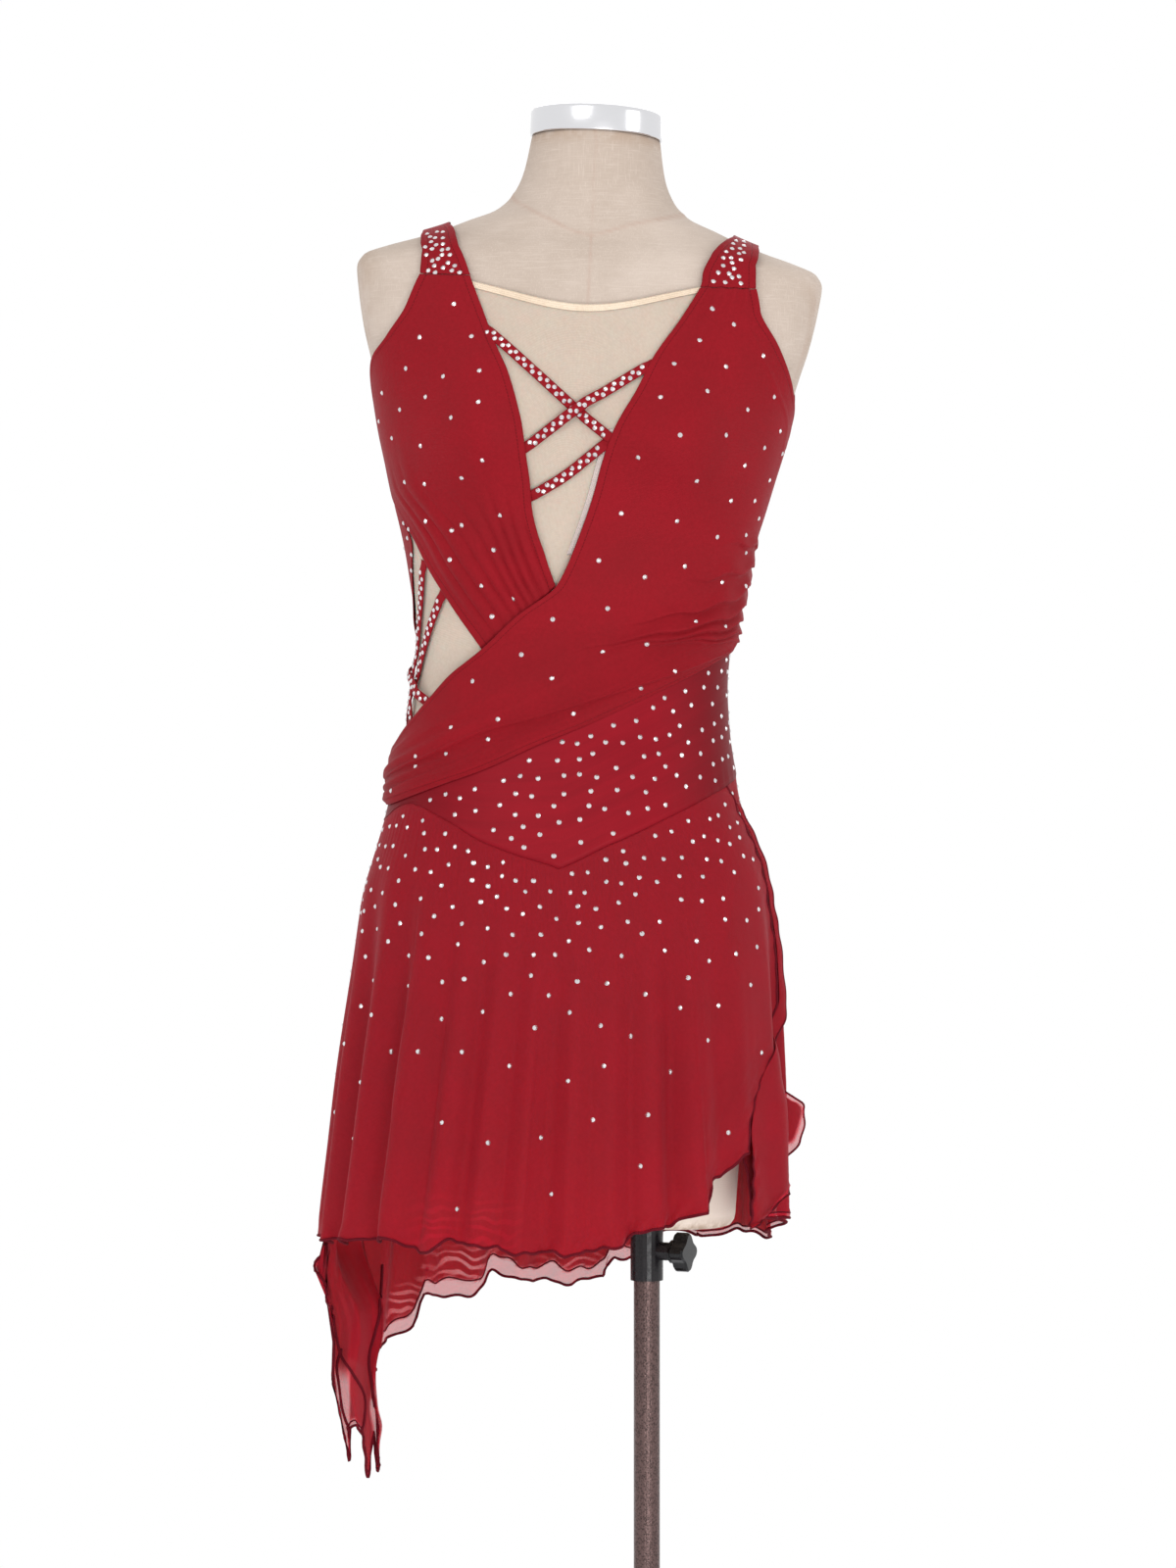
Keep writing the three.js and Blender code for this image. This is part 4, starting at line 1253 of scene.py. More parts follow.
# ---------------------------------------------------------------- bodice
EDGE = "t a aLevel b bLevel"
FRONT_RIGHT = curves(EDGE, [
    [0, 151.5, 301, 139, 300.4], [0.1, 153, 276, 133, 277], [0.2, 158, 255, 127, 252],
    [0.3, 168, 237, 121, 228], [0.42, 178, 206, 117, 204], [0.48, 181, 190, 115, 190],
    [0.56, 181, 168, 113, 167], [0.64, 179, 146, 111, 147], [0.72, 170, 126, 110, 128],
    [0.8, 162, 106, 108, 112], [0.87, 156, 84, 105, 98], [0.94, 146, 55, 102, 84],
    [1, 132, 22, 99, 72],
])
FRONT_LEFT = curves(EDGE, [
    [0, 29, 301, 43.2, 299.5], [0.08, 29, 285, 52, 272], [0.16, 24, 258, 62, 243],
    [0.23, 14, 229, 68, 218], [0.3, 0, 201, 76, 190], [0.37, -2, 175, 80, 168],
    [0.44, -2, 147, 84, 138], [0.5, -2, 118, 89, 110], [0.55, -2, 92, 95, 84],
    [0.6, -2, 64, 99, 72], [0.66, 1, 40, 117, 48], [0.72, 20, 24, 132, 22], [0.78, 46, -1, 145, 2],
    [0.84, 76, -27, 154, -17], [0.89, 103, -47, 163, -35], [0.94, 135, -75, 174, -52],
    [0.985, 172, -98, 183, -59], [1, 182, -98, 185, -66],
])
STRAP = curves(EDGE, [
    [0, 151.5, 301.6, 139, 301], [0.25, 153.5, 318, 144.5, 319], [0.42, 163, 333.5, 157, 338.5],
    [0.5, 180, 340.3, 180, 347], [0.58, 199, 334.5, 204, 339], [0.75, 207, 318, 216, 319],
    [1, 209, 301.6, 221, 301.6],
])
BACK_RIGHT_EDGE = curves("t angle level", [
    [0, 209, 301], [0.1, 205, 280], [0.2, 200, 255], [0.3, 192, 228], [0.4, 184, 202],
    [0.45, 182, 190], [0.52, 182, 168], [0.6, 180, 146], [0.67, 171, 124], [0.72, 165, 104],
    [0.77, 170, 82], [0.82, 178, 56], [0.88, 194, 24], [0.94, 212, -4], [1, 232, 5],
])
BACK_LEFT_EDGE = curves("t angle level", [
    [0, 331, 301], [0.1, 335, 282], [0.2, 341, 255], [0.3, 350, 228], [0.4, 357, 202],
    [0.45, 357.5, 190], [0.6, 357.5, 146], [0.75, 357.5, 108], [0.9, 357.5, 76], [1, 357.5, 57],
])
BACK_NECK = curves("t right left level", [
    [0, 221, 319, 301], [0.12, 225, 315, 276], [0.24, 232, 308, 248], [0.36, 243, 297, 222],
    [0.46, 256, 284, 204], [0.54, 270, 270, 196],
])
# The back's centre seam: its angle, half its gap, its levels, and where it starts down the edge.
BACK_SEAM = SimpleNamespace(angle=270, half_gap=0.15, top=196, foot=34.8, start=0.54)
NUDE_FRONT = curves(EDGE, [
    [0, 140, 300, 42, 303], [0.12, 135, 277, 50, 277], [0.25, 130, 252, 58, 252],
    [0.4, 123, 218, 64, 218], [0.55, 118, 185, 73, 185], [0.7, 114, 150, 79, 145],
    [0.85, 111, 112, 85, 105], [1, 105, 70, 96, 66],
])
NUDE_SIDE = curves(EDGE, [
    [0, 156, 116, 184, 122], [0.2, 148, 90, 187, 100], [0.4, 141, 60, 192, 66],
    [0.6, 128, 24, 204, 30], [0.75, 139, -2, 220, 2], [0.88, 156, -38, 222, -24],
    [1, 173, -74, 210, -58],
])
# Each lace runs through its points; `over` is how many others it passes over.
LACES = [
    ("lace_neck_right", 0, [[129, 258], [113, 232], [93, 203], [79, 185]]),
    ("lace_neck_left", 1, [[65.5, 235], [78, 220], [93, 203], [112, 175]]),
    ("lace_low", 0, [[82, 175], [88, 166], [98, 152], [108, 141]]),
    ("lace_side_back", 0, [[152, 58], [158, 38], [164, 16], [169, -4], [180, -25], [197, -46]]),
    ("lace_side_front", 1, [[160, 80], [165, 50], [169, 20], [170, -8], [168, -33]]),
    ("lace_side_cross", 2, [[158, -17], [162, -12], [166, -5], [185, 14], [193, 20]]),
]
CROSSINGS = [(93, 203), (168, -5)]
LACE_WIDTH = 7.5
NUDE_COVER = 0.5  # the share of light that the nude mesh stops
# Stones that the photograph hides: their piece, how many, and where they lie across and down it.
HIDDEN_STONES = [
    ("back_right", 24, 0.12, 0.92, 0.06, 0.94), ("back_left", 24, 0.12, 0.92, 0.06, 0.94),
    ("strap_right", 34, 0.16, 0.84, 0.53, 0.97), ("strap_left", 34, 0.16, 0.84, 0.53, 0.97),
]
GOLDEN = 0.618  # steps of this share spread places evenly
# Where the wrap is folded over itself: its line across, by the share along.
PLEAT = curves("t s", [
    [0.6, 0.01], [0.64, 0.03], [0.72, 0.05], [0.78, 0.14], [0.84, 0.3], [0.89, 0.44], [0.94, 0.47],
    [1, 0.5],
])
# Folds that run out from the ruched side seam: start along it, slant, reach across, height and width.
RUCHES = [
    [0.506, 0.0, 0.4, 2.0, 0.012], [0.53, 0.09, 0.5, 3.2, 0.015], [0.552, 0.2, 0.66, 3.6, 0.016],
    [0.578, 0.24, 0.7, 3.6, 0.017], [0.606, 0.22, 0.6, 3.4, 0.016], [0.634, 0.17, 0.5, 2.8, 0.014],
    [0.655, 0.12, 0.4, 2.0, 0.012],
]
# Long soft drapes of the wrap: place across at start and end, start and end along, height, width.
DRAPES = [
    [0.34, 0.62, 0.56, 0.98, 1.0, 0.06], [0.6, 0.8, 0.62, 1.0, 0.8, 0.06],
    [0.12, 0.22, 0.72, 1.0, 0.9, 0.05], [0.3, 0.34, 0.86, 1.0, 1.6, 0.05],
    [0.66, 0.62, 0.9, 1.0, 1.5, 0.045], [0.85, 0.84, 0.86, 1.0, 1.2, 0.04],
]
# Stones as they show in the photograph, across and down in its pixels.
STRAP_STONES = [
    (439, 242), (446, 237), (452, 237), (436, 239), (444, 243), (452, 243), (440, 247), (445, 250),
    (452, 249), (434, 252), (441, 254), (451, 255), (457, 254), (435, 260), (451, 260), (459, 260),
    (447, 264), (441, 266), (457, 268), (443, 271), (452, 273), (464, 271), (437, 276), (444, 278),
    (461, 276), (469, 278), (751, 246), (748, 249), (759, 247), (759, 251), (747, 254), (755, 254),
    (741, 257), (754, 259), (759, 258), (738, 263), (746, 263), (756, 265), (747, 268), (738, 271),
    (749, 274), (733, 278), (744, 279), (747, 283), (754, 282), (728, 287), (740, 288), (756, 289),
]
BODICE_STONES = [
    (463, 310), (428, 344), (481, 343), (414, 376), (489, 378), (452, 384), (390, 401), (434, 405),
    (408, 418), (488, 410), (460, 426), (387, 430), (400, 447), (429, 455), (492, 470), (471, 488),
    (413, 492), (433, 494), (510, 526), (434, 532), (471, 536), (461, 541), (504, 561), (459, 571),
    (491, 598), (524, 611), (502, 629), (412, 534), (417, 540), (416, 549), (420, 552), (420, 566),
    (420, 582), (727, 315), (749, 331), (714, 347), (779, 363), (688, 371), (741, 374), (722, 399),
    (790, 405), (674, 405), (763, 418), (694, 444), (741, 444), (796, 440), (780, 457), (798, 463),
    (651, 467), (760, 475), (711, 491), (785, 490), (746, 511), (770, 511), (634, 524), (691, 532),
    (774, 529), (732, 548), (761, 546), (761, 564), (611, 572), (699, 578), (658, 589), (737, 594),
    (761, 598), (620, 621), (564, 632), (710, 634), (740, 639), (660, 657), (615, 665), (689, 685),
    (654, 702), (563, 692), (585, 728), (532, 668), (482, 695), (508, 734), (460, 742), (498, 754),
    (455, 769), (424, 772), (424, 782), (399, 807),
]


def between(edges: SimpleNamespace, s: Array, t: Array) -> tuple[Array, Array]:
    """The angle and level at shares s between two edge curves and t along them."""
    return mix(edges.a(t), edges.b(t), s), mix(edges.aLevel(t), edges.bLevel(t), s)


def bound(sheet: Sheet, width: float, rise: float, sides: Sequence[Side]) -> Array:
    """The rise of a band along some side edges: full to its width, then a soft step down.

    Args:
        sheet: the cloth.
        width: of the band, in millimetres.
        rise: its height.
        sides: the edges, first or last.

    Returns:
        A height for each point.
    """
    across = sheet.across()
    away = {Side.FIRST: across, Side.LAST: across[:, -1:] - across}
    bands = [rise * (1 - smooth(away[side], width - 0.7, width + 0.5)) for side in sides]
    return np.maximum.reduce(bands)


@dataclass
class Bodice:
    """The knit panels over the chest, the straps, the nude insets and the back."""

    shop: Workshop
    made: dict[str, Sheet] = field(default_factory=dict)

    def panel(
        self,
        name: str,
        sheet: Sheet,
        nude: bool = False,
        node: str = "",
    ) -> None:
        """Makes one cut panel, which rests on the form and is stretched over it.

        Args:
            name: the piece's name.
            sheet: the middle of its cloth.
            nude: whether it is nude mesh rather than red knit.
            node: the solid that it replaces, where its name isn't the piece's own.
        """
        self.made[name] = sheet
        cover = {"cover": np.full(sheet.points.shape[:2], NUDE_COVER)} if nude else None
        finish, slot = (Finish.NUDE, "nude_mesh") if nude else (Finish.KNIT, "red_knit")
        piece = cloth_object(name, sheet, values=cover)
        self.shop.fit(piece, finish, slot, stands_for=[node or name.replace("_cloth", "")])

    def right_front(self) -> None:
        """The right front: gathers fan up from the wrap seam, and bands follow both edges."""
        s, t = grid(90, 150)
        angle, level = between(FRONT_RIGHT, s, t)
        start = 0.56 + 0.08 * np.sin(13 * s + 1) + 0.05 * np.sin(31 * s)
        fade = smooth(t, start, 0.9) * smooth(s, 0.04, 0.2) * (1 - smooth(s, 0.9, 0.99))
        puffs = np.abs(np.sin(np.pi * (9.5 * s + 0.25 * np.sin(7 * t + 9 * s)))) ** 0.7
        relief = 0.25 + 2.8 * fade * puffs * (1 - 0.5 * smooth(t, 0.94, 1))
        sheet = Sheet.facing_out(above(form_point, angle, level, RED_MIDDLE + relief))
        bands = bound(sheet, 10.5, 0.35, [Side.LAST]), bound(sheet, 4.5, 0.3, [Side.FIRST])
        sheet = sheet.raised(bands[0] + bands[1])
        self.panel("front_right_cloth", sheet)

    def left_front(self) -> None:
        """The left front and its wrap: ruched at the side seam, draped down to the right hip."""
        s, t = grid(120, 350)
        t = t**0.9
        s = s**1.1
        angle, level = between(FRONT_LEFT, s, t)
        relief = self.wrap_relief(s, t)
        sheet = Sheet.facing_out(above(form_point, angle, level, RED_MIDDLE + relief))
        bands = bound(sheet, 4.5, 0.3, [Side.LAST]), bound(sheet, 4.5, 0.3, [Side.FIRST])
        sheet = sheet.raised(bands[0] + bands[1] * (t < 0.33))
        self.panel("front_left_cloth", sheet, node="front_left_wrap")
        self.allowance()

    def wrap_relief(self, s: Array, t: Array) -> Array:
        """How high the left front lies, with its ruches, drapes and pleat over what it wraps.

        Args:
            s: shares across.
            t: shares along, from the shoulder to the right hip.

        Returns:
            Heights above the knit's own level.
        """
        lift = (WRAP_OFFSET + 0.9 - RED_OFFSET) * smooth(t, 0.44, 0.57) + 0.7 * smooth(t, 0.82, 0.9)
        ruche = smooth(t, 0.49, 0.53) * (1 - smooth(t, 0.64, 0.68)) * (1 - smooth(s, 0, 0.14))
        pucker = np.abs(np.sin(np.pi * 27 * t + wander(t, (0.9, 31, 0.4), (0.6, 77, 2.0)))) ** 0.7
        lift = lift - 2.3 * (1 - smooth(s, 0, 0.09)) * smooth(t, 0.68, 0.78)
        relief = lift + 0.8 * ruche * pucker
        for start, slant, reach, height, width in RUCHES:
            lies = start + slant * s**1.15 + 0.004 * np.sin(40 * s)
            tall = height * (0.7 + 0.6 * smooth(s, 0, 0.14)) * (1 - smooth(s, 0.4 * reach, reach))
            relief = relief + tall * crease(lies - t, width * (0.7 + 1.4 * s), 0.2)
        for place, ends, start, end, height, width in DRAPES:
            line = mix(place, ends, smooth(t, start, end))
            relief = relief + height * smooth(t, start, start + 0.12) * ridge(s, line, width)
        over = s - PLEAT.s(t) - 0.006 * np.sin(23 * t)
        step = smooth(over, -0.006, 0.004) * (0.6 + 0.4 * (1 - smooth(over, 0.05, 0.3)))
        step = step + 0.35 * ridge(over, 0.012, 0.014)
        relief = relief + 1.5 * smooth(t, 0.6, 0.66) * step
        hip = smooth(t, 0.92, 0.985) * np.abs(np.sin(3.5 * np.pi * s + 0.4)) ** 0.7 * 1.6
        hip = hip * smooth(s, 0, 0.1)
        puffs = 0.5 + 0.5 * np.cos(2 * np.pi * (5 * s + 0.3 * np.sin(5 * s)))
        gather = smooth(0.13 - t, 0, 0.11) * puffs**1.5 * 1.4
        crest = 0.5 * smooth(t, 0.06, 0.14) * (1 - smooth(t, 0.34, 0.46))
        return relief + hip + gather + crest * ridge(s, 0.17 - 0.1 * t, 0.018)

    def allowance(self) -> None:
        """The turned edge of the left front, which shows as a grey strip on the nude mesh."""
        s, t = grid(6, 90)
        t = mix(0.3, 0.525, t)
        angle = FRONT_LEFT.b(t) - 1.2 + s * 3.6
        sheet = Sheet.facing_out(above(form_point, angle, FRONT_LEFT.bLevel(t), NUDE_MIDDLE + 0.75))
        piece = cloth_object("front_left_allowance", sheet, 0.4)
        self.shop.fit(piece, Finish.TAPE, "nude_mesh")

    def straps(self) -> None:
        """Both shoulder straps, which face up; the left one is mirrored and a little wider."""
        for name, mirrored in (("strap_right", False), ("strap_left", True)):
            s, t = grid(18, 88)
            angle, level = between(STRAP, s, t)
            if mirrored:
                wider = (2.2 + smooth(t, 0, 0.2)) * (1 - smooth(t, 0.3, 0.5))
                angle = 180 - angle + s * wider + 0.5 * (1 - s)
                level = level - s * (1 - smooth(t, 0, 0.3))
            sheet = Sheet.facing(above(form_point, angle, level, RED_MIDDLE), np.array([0, 0, 1]))
            bands = bound(sheet, 3.0, 0.35, [Side.FIRST, Side.LAST])
            sheet = sheet.raised(bands * (1 - ridge(t, 0.5, 0.12)))
            self.panel(f"{name}_cloth", sheet)

    def backs(self) -> None:
        """The two halves of the back, from armhole to neck and then to the centre seam."""
        for name, edge, neck, side in (
            ("back_right", BACK_RIGHT_EDGE, BACK_NECK.right, -1),
            ("back_left", BACK_LEFT_EDGE, BACK_NECK.left, 1),
        ):
            s, t = grid(64, 120)
            s = s**1.3
            seam = BACK_SEAM.angle + side * BACK_SEAM.half_gap
            centre = mix(BACK_SEAM.top, BACK_SEAM.foot, (t - BACK_SEAM.start) / (1 - BACK_SEAM.start))
            b = np.where(t < BACK_SEAM.start, neck(t), seam)
            b_level = np.where(t < BACK_SEAM.start, BACK_NECK.level(t), centre)
            lap = smooth(t, 0.4, 0.46) * (1 - smooth(t, 0.58, 0.64) if side < 0 else 1)
            angle = mix(edge.angle(t) + side * 1.9 * lap, b, s)
            end = BELT.high(mix(edge.angle(1.0), seam, s)) + 0.8
            level = mix(edge.level(t), b_level, s)
            level = level + smooth(t, 0.75, 1) * (end - mix(edge.level(1.0), BACK_SEAM.foot, s))
            low = 1.3 * smooth(t, 0.55, 0.62) * (1 - smooth(t, 0.8, 0.86))
            tucked = lap + (low if side < 0 else 0)
            relief = 0.6 * (1 - smooth(s, 0.2, 0.8)) - tucked * (1 - smooth(s, 0.0, 0.12))
            relief = relief + wander(level, (0.25, 0.05, 0.3), (0.2, 0.11, 1.0)) * smooth(s, 0, 0.3)
            sheet = Sheet.facing_out(above(form_point, angle, level, RED_MIDDLE + relief))
            sheet = sheet.raised(bound(sheet, 4.5, 0.3, [Side.FIRST, Side.LAST]))
            self.panel(f"{name}_cloth", sheet)

    def insets(self) -> None:
        """The nude mesh under the neck opening and under the cut-out, and the peach binding."""
        s, t = grid(64, 72)
        angle, level = between(NUDE_FRONT, s, t)
        level = level - (1.5 + 16.5 * np.sin(np.pi * s)) * (1 - smooth(t, 0, 0.2))
        sheet = Sheet.facing_out(above(form_point, angle, level, NUDE_MIDDLE))
        self.panel("nude_front_cloth", sheet, nude=True)
        path, normals = sheet.edge(Side.TOP)
        band = np.linspace(-1, 1, 9)[:, None, None]
        fall = unit(sheet.points[1] - sheet.points[0])[None]
        crown = 0.55 + 0.5 * np.sqrt(1 - 0.8 * band**2)
        binding = Sheet.facing_out(path[None] + fall * (band * 2.7 + 3.6) + normals[None] * crown)
        piece = cloth_object("nude_binding", binding, 0.7)
        self.shop.fit(piece, Finish.PEACH, "nude_mesh")
        s, t = grid(44, 72)
        angle, level = between(NUDE_SIDE, s, t)
        sheet = Sheet.facing_out(above(form_point, angle, level, NUDE_MIDDLE))
        self.panel("nude_side_cloth", sheet, nude=True)

    def laces(self) -> None:
        """The beaded laces: narrow crowned bands, each with a double row of stones."""
        for name, over, rows in LACES:
            sheet = lace_sheet(np.array(rows, float), over)
            piece = cloth_object(f"{name}_cloth", sheet, 0.9)
            self.shop.fit(piece, Finish.KNIT, "red_knit", stands_for=[name])
            run = sheet.down().mean(1)
            away = np.arange(10.0, run[-1] - 9, 3.9)
            away = away + 0.5 * np.sin(2.3 * away)
            s = 0.5 + 0.19 * np.where(np.arange(len(away)) % 2 == 0, 1, -1)
            points, normals = sheet.at(s, np.interp(away, run, np.linspace(0, 1, len(run))))
            self.shop.stones(f"{name}_stones", points + normals * 0.5, normals, 1.5, len(name) + over)

    def scatter(self) -> None:
        """The stones of the bodice and the straps: as the photograph shows them, and alike behind."""
        fronts = [self.made[f"{name}_cloth"] for name in ("front_right", "front_left", "back_right")]
        straps = [self.made[f"{name}_cloth"] for name in ("strap_right", "strap_left")]
        groups = [sighted(fronts, BODICE_STONES), sighted(straps, STRAP_STONES)]
        rng = np.random.default_rng(31)
        for name, count, left, right, top, foot in HIDDEN_STONES:
            n = np.arange(count)
            s = mix(left, right, np.mod(n * GOLDEN, 1)) + rng.uniform(-0.03, 0.03, count)
            groups.append(self.made[f"{name}_cloth"].at(s, mix(top, foot, (n + 0.5) / count)))
        places, facing = (np.concatenate(parts) for parts in zip(*groups))
        self.shop.stones("bodice_stones", places + facing * (CLOTH / 2), facing, 1.65, 41)

    def build(self) -> None:
        """Makes every piece of the bodice."""
        self.insets()
        self.right_front()
        self.left_front()
        self.backs()
        self.straps()
        self.laces()
        self.scatter()


def strewn(
    sheet: Sheet, spacing: Surface, shown: Surface, seed: int, tries: int = 9000
) -> tuple[Array, Array]:
    """Places strewn evenly but at random: a dart that falls too near an earlier one is dropped.

    Args:
        sheet: the cloth.
        spacing: the least distance in millimetres at shares s and t.
        shown: whether shares s and t may carry a stone.
        seed: for the darts.
        tries: how many darts are thrown.

    Returns:
        Shares s across and t down.
    """
    rng = np.random.default_rng(seed)
    s, t = rng.uniform(0, 1, tries), rng.uniform(0, 1, tries)
    keep = shown(s, t)
    s, t = s[keep], t[keep]
    points, _ = sheet.at(s, t)
    gap = spacing(s, t) * rng.uniform(0.85, 1.3, len(s))
    kept: list[int] = []
    for n, point in enumerate(points):
        if not kept or np.min(np.linalg.norm(points[kept] - point, axis=1) - gap[n]) > 0:
            kept.append(n)
    return s[kept], t[kept]


def sighted(sheets: Sequence[Sheet], pixels: Sequence[tuple[int, int]]) -> tuple[Array, Array]:
    """Where lines of sight from the camera through points of the photograph first meet the cloth.

    Args:
        sheets: the pieces of cloth that they may meet.
        pixels: points of the photograph, across and down.

    Returns:
        Points and normals in the leaning frame, for each line that meets a piece.
    """
    corners, cells, count = [], [], 0
    for sheet in sheets:
        index, _ = grid_cells(*sheet.points.shape[:2])
        corners.append(to_world(sheet.points).reshape(-1, 3))
        cells.append(index + count)
        count += len(corners[-1])
    flat = np.concatenate(corners)
    facing = np.concatenate([sheet.normals().reshape(-1, 3) for sheet in sheets])
    whole = np.concatenate([sheet.points.reshape(-1, 3) for sheet in sheets])
    faces = np.concatenate(cells)
    tree = BVHTree.FromPolygons(flat.tolist(), faces.tolist())
    middle_across, middle_down = PHOTO.across / 2, PHOTO.down / 2
    eye = Vector((CAMERA.x, -CAMERA.distance, CAMERA.z))
    places, normals = [], []
    for across, down in pixels:
        x, z = CAMERA.x + (across - middle_across) * PIXEL, CAMERA.z + (middle_down - down) * PIXEL
        hit, _, face, _ = tree.ray_cast(eye, (Vector((x, 0, z)) - eye).normalized())
        if hit is None:
            log.warning("no cloth behind %d, %d", across, down)
            continue
        near = faces[face][np.argmin(np.linalg.norm(flat[faces[face]] - np.array(hit), axis=1))]
        places.append(whole[near] + from_world_step(np.array(hit) - flat[near]))
        normals.append(facing[near])
    return np.array(places), np.array(normals)


def from_world_step(step: Array) -> Array:
    """A step turned back by the lean: u = x cos - z sin, w = x sin + z cos.

    Args:
        step: in the row's frame, in metres.

    Returns:
        The step in the leaning frame, in millimetres.
    """
    c, s = math.cos(LEAN), math.sin(LEAN)
    x, y, z = step * 1000
    return np.array([x * c - z * s, y, x * s + z * c])


def catmull(knots: Array, t: Array) -> Array:
    """A Catmull-Rom curve: between two knots a cubic whose slopes are half of what spans each knot.

    Args:
        knots: rows of numbers.
        t: shares along all of it.

    Returns:
        A row for each share.
    """
    last = len(knots) - 1
    p = t * last
    i = np.minimum(p.astype(int), last - 1)
    w = (p - i)[..., None]
    p0, p1, p2, p3 = (knots[np.clip(i + k, 0, last)] for k in (-1, 0, 1, 2))
    p0 = np.where((i == 0)[..., None], p1, p0)
    v0, v1 = (p2 - p0) / 2, (p3 - p1) / 2
    cubic, square = 2 * p1 - 2 * p2 + v0 + v1, -3 * p1 + 3 * p2 - 2 * v0 - v1
    return cubic * w**3 + square * w**2 + v0 * w + p1


def lace_sheet(knots: Array, over: int) -> Sheet:
    """A lace's band, whose crown is a half ellipse, and which rises where it passes over others.

    Args:
        knots: rows of angle and level.
        over: how many others it passes over.

    Returns:
        The band, columns across and rows along.
    """
    knots = knots.copy()
    for end, inner in ((0, 1), (-1, -2)):
        step = knots[end] - knots[inner]
        knots[end] += step / np.hypot(step[0] * 1.9, step[1]) * 9
    t = np.linspace(0, 1, 22 * len(knots))
    at = catmull(knots, t)
    near = np.min([np.hypot((at[:, 0] - a) * 2, at[:, 1] - w) for a, w in CROSSINGS], axis=0)
    tucked = 1.5 * (1 - smooth(np.minimum(t, 1 - t) * len(knots), 0.15, 0.4))
    lift = over * LAYER * (1 - smooth(near, 12, 26)) - tucked
    path = above(form_point, at[:, 0], at[:, 1], RED_OFFSET + lift)
    up = unit(above(form_point, at[:, 0], at[:, 1], 10.0) - form_point(at[:, 0], at[:, 1]))
    across = unit(np.cross(np.gradient(path, axis=0), up))
    s = np.linspace(-0.5, 0.5, 11)
    crown = 0.55 + 0.75 * np.sqrt(np.clip(1 - (2 * s) ** 2, 0, 1))
    aside = across[:, None] * (s * LACE_WIDTH)[None, :, None]
    return Sheet.facing(path[:, None] + aside + up[:, None] * crown[None, :, None], up[:, None])


# ---------------------------------------------------------------- belt
BELT_TURN = 359.6  # the belt's cloth stops just short of a full turn
BELT_UNDER = 1.6  # how far it reaches down behind the skirt's seam
BELT_SEAMS = [(0.5, TIP.angle, 0.3), (0.45, 186, 0.3), (0.45, 358, 0.4)]  # depth, angle, width
WRAP_END = 184  # the angle at which the wrap ends on the belt


@dataclass
class Belt:
    """The pointed satin belt with its seams and stones."""

    shop: Workshop

    def build(self) -> None:
        """Makes the belt all round, with a seam down the front point and at the sides."""
        s, t = grid(26, 480)
        angle = t * BELT_TURN
        level = mix(belt_low(angle) - BELT_UNDER, BELT.high(angle), s)
        height = RED_MIDDLE + 0.5 * (1 - smooth(s, 0, 0.08))
        sheet = Sheet.facing_out(above(form_point, angle, level, height))
        seam = np.minimum.reduce([-deep * ridge(angle, at, width) for deep, at, width in BELT_SEAMS])
        puckers = 0.1 * wander(angle, (1, 1.3, 0), (0.6, 2.9, 1)) * (1 - smooth(s, 0, 0.25))
        sheet = sheet.raised(seam + puckers)
        # Painted shade: the satin darkens towards both sides of the front, up to 0.75 of the way, and
        # not at the back.
        round_it = np.abs(angle - 88)
        turned = 0.75 * smooth(round_it, 34, 74) * (1 - smooth(round_it, 100, 170))
        piece = cloth_object("belt_cloth", sheet, values={"turned": turned})
        self.shop.fit(piece, Finish.SATIN, "red_satin", stands_for=["belt"])
        self.stones(sheet)

    def stones(self, sheet: Sheet) -> None:
        """Staggered stones over the front of the belt, thinner round the back.

        Args:
            sheet: the belt's cloth.
        """
        share = np.linspace(0.66, 1, 200)
        round_it = np.linspace(0, WRAP_END, 200)
        wrap = np.interp(round_it, FRONT_LEFT.a(share), FRONT_LEFT.aLevel(share))

        def shown(s: Array, t: Array) -> Array:
            """Whether a place is clear of the wrap and of both edges.

            Args:
                s: shares up the belt.
                t: shares round it.

            Returns:
                True or false for each.
            """
            angle = t * BELT_TURN
            low, high = belt_low(angle), BELT.high(angle)
            level = mix(low - BELT_UNDER, high, s)
            under = np.minimum(high, np.interp(angle, round_it, wrap))
            top = np.where(angle < WRAP_END, under, high)
            return (level < top - 5) & (level > low + 5)

        s, t = strewn(sheet, lambda s, t: mix(12.5, 22.0, smooth(t, 0.52, 0.56)), shown, 11)
        points, normals = sheet.at(s, t)
        self.shop.stones("belt_stones", points + normals * (CLOTH / 2), normals, 1.7, 5)


# ---------------------------------------------------------------- skirt
FRONT_HEM = curves("angle level", [
    [30, -343], [38, -358], [43.5, -366], [46, -388], [50, -393], [57, -398], [64, -404],
    [70, -412], [77, -417], [85, -420], [104, -421], [114, -417], [121, -416], [127, -425],
    [141, -419], [153, -424], [165, -428], [179, -431], [190, -431],
])
SLIT = curves("drop angle", [
    [0, 18.6], [0.04, 13.8], [0.14, 11.1], [0.25, 10.7], [0.35, 10], [0.44, 8.7], [0.59, 8.8],
    [0.66, 12.2], [0.71, 17.5], [0.78, 23.5], [0.86, 28.3], [0.95, 31], [1, 30.5],
])
BACK_HEM = curves("angle level", [
    [186, -453], [186.5, -492], [187.2, -560], [188.2, -604], [190.6, -580], [193.5, -576],
    [196.5, -584], [199.4, -617], [201.8, -586], [204.6, -613], [206, -596], [207, -560],
    [208, -536], [212, -530], [220, -525], [226, -518], [230, -510], [232, -487], [244, -486],
    [250, -479], [253, -467], [265, -473], [284, -467], [287, -453], [294, -447], [306, -424],
    [315, -428], [325, -418], [335, -421], [345, -413], [359, -399], [372, -396], [385, -393],
    [398, -392],
])
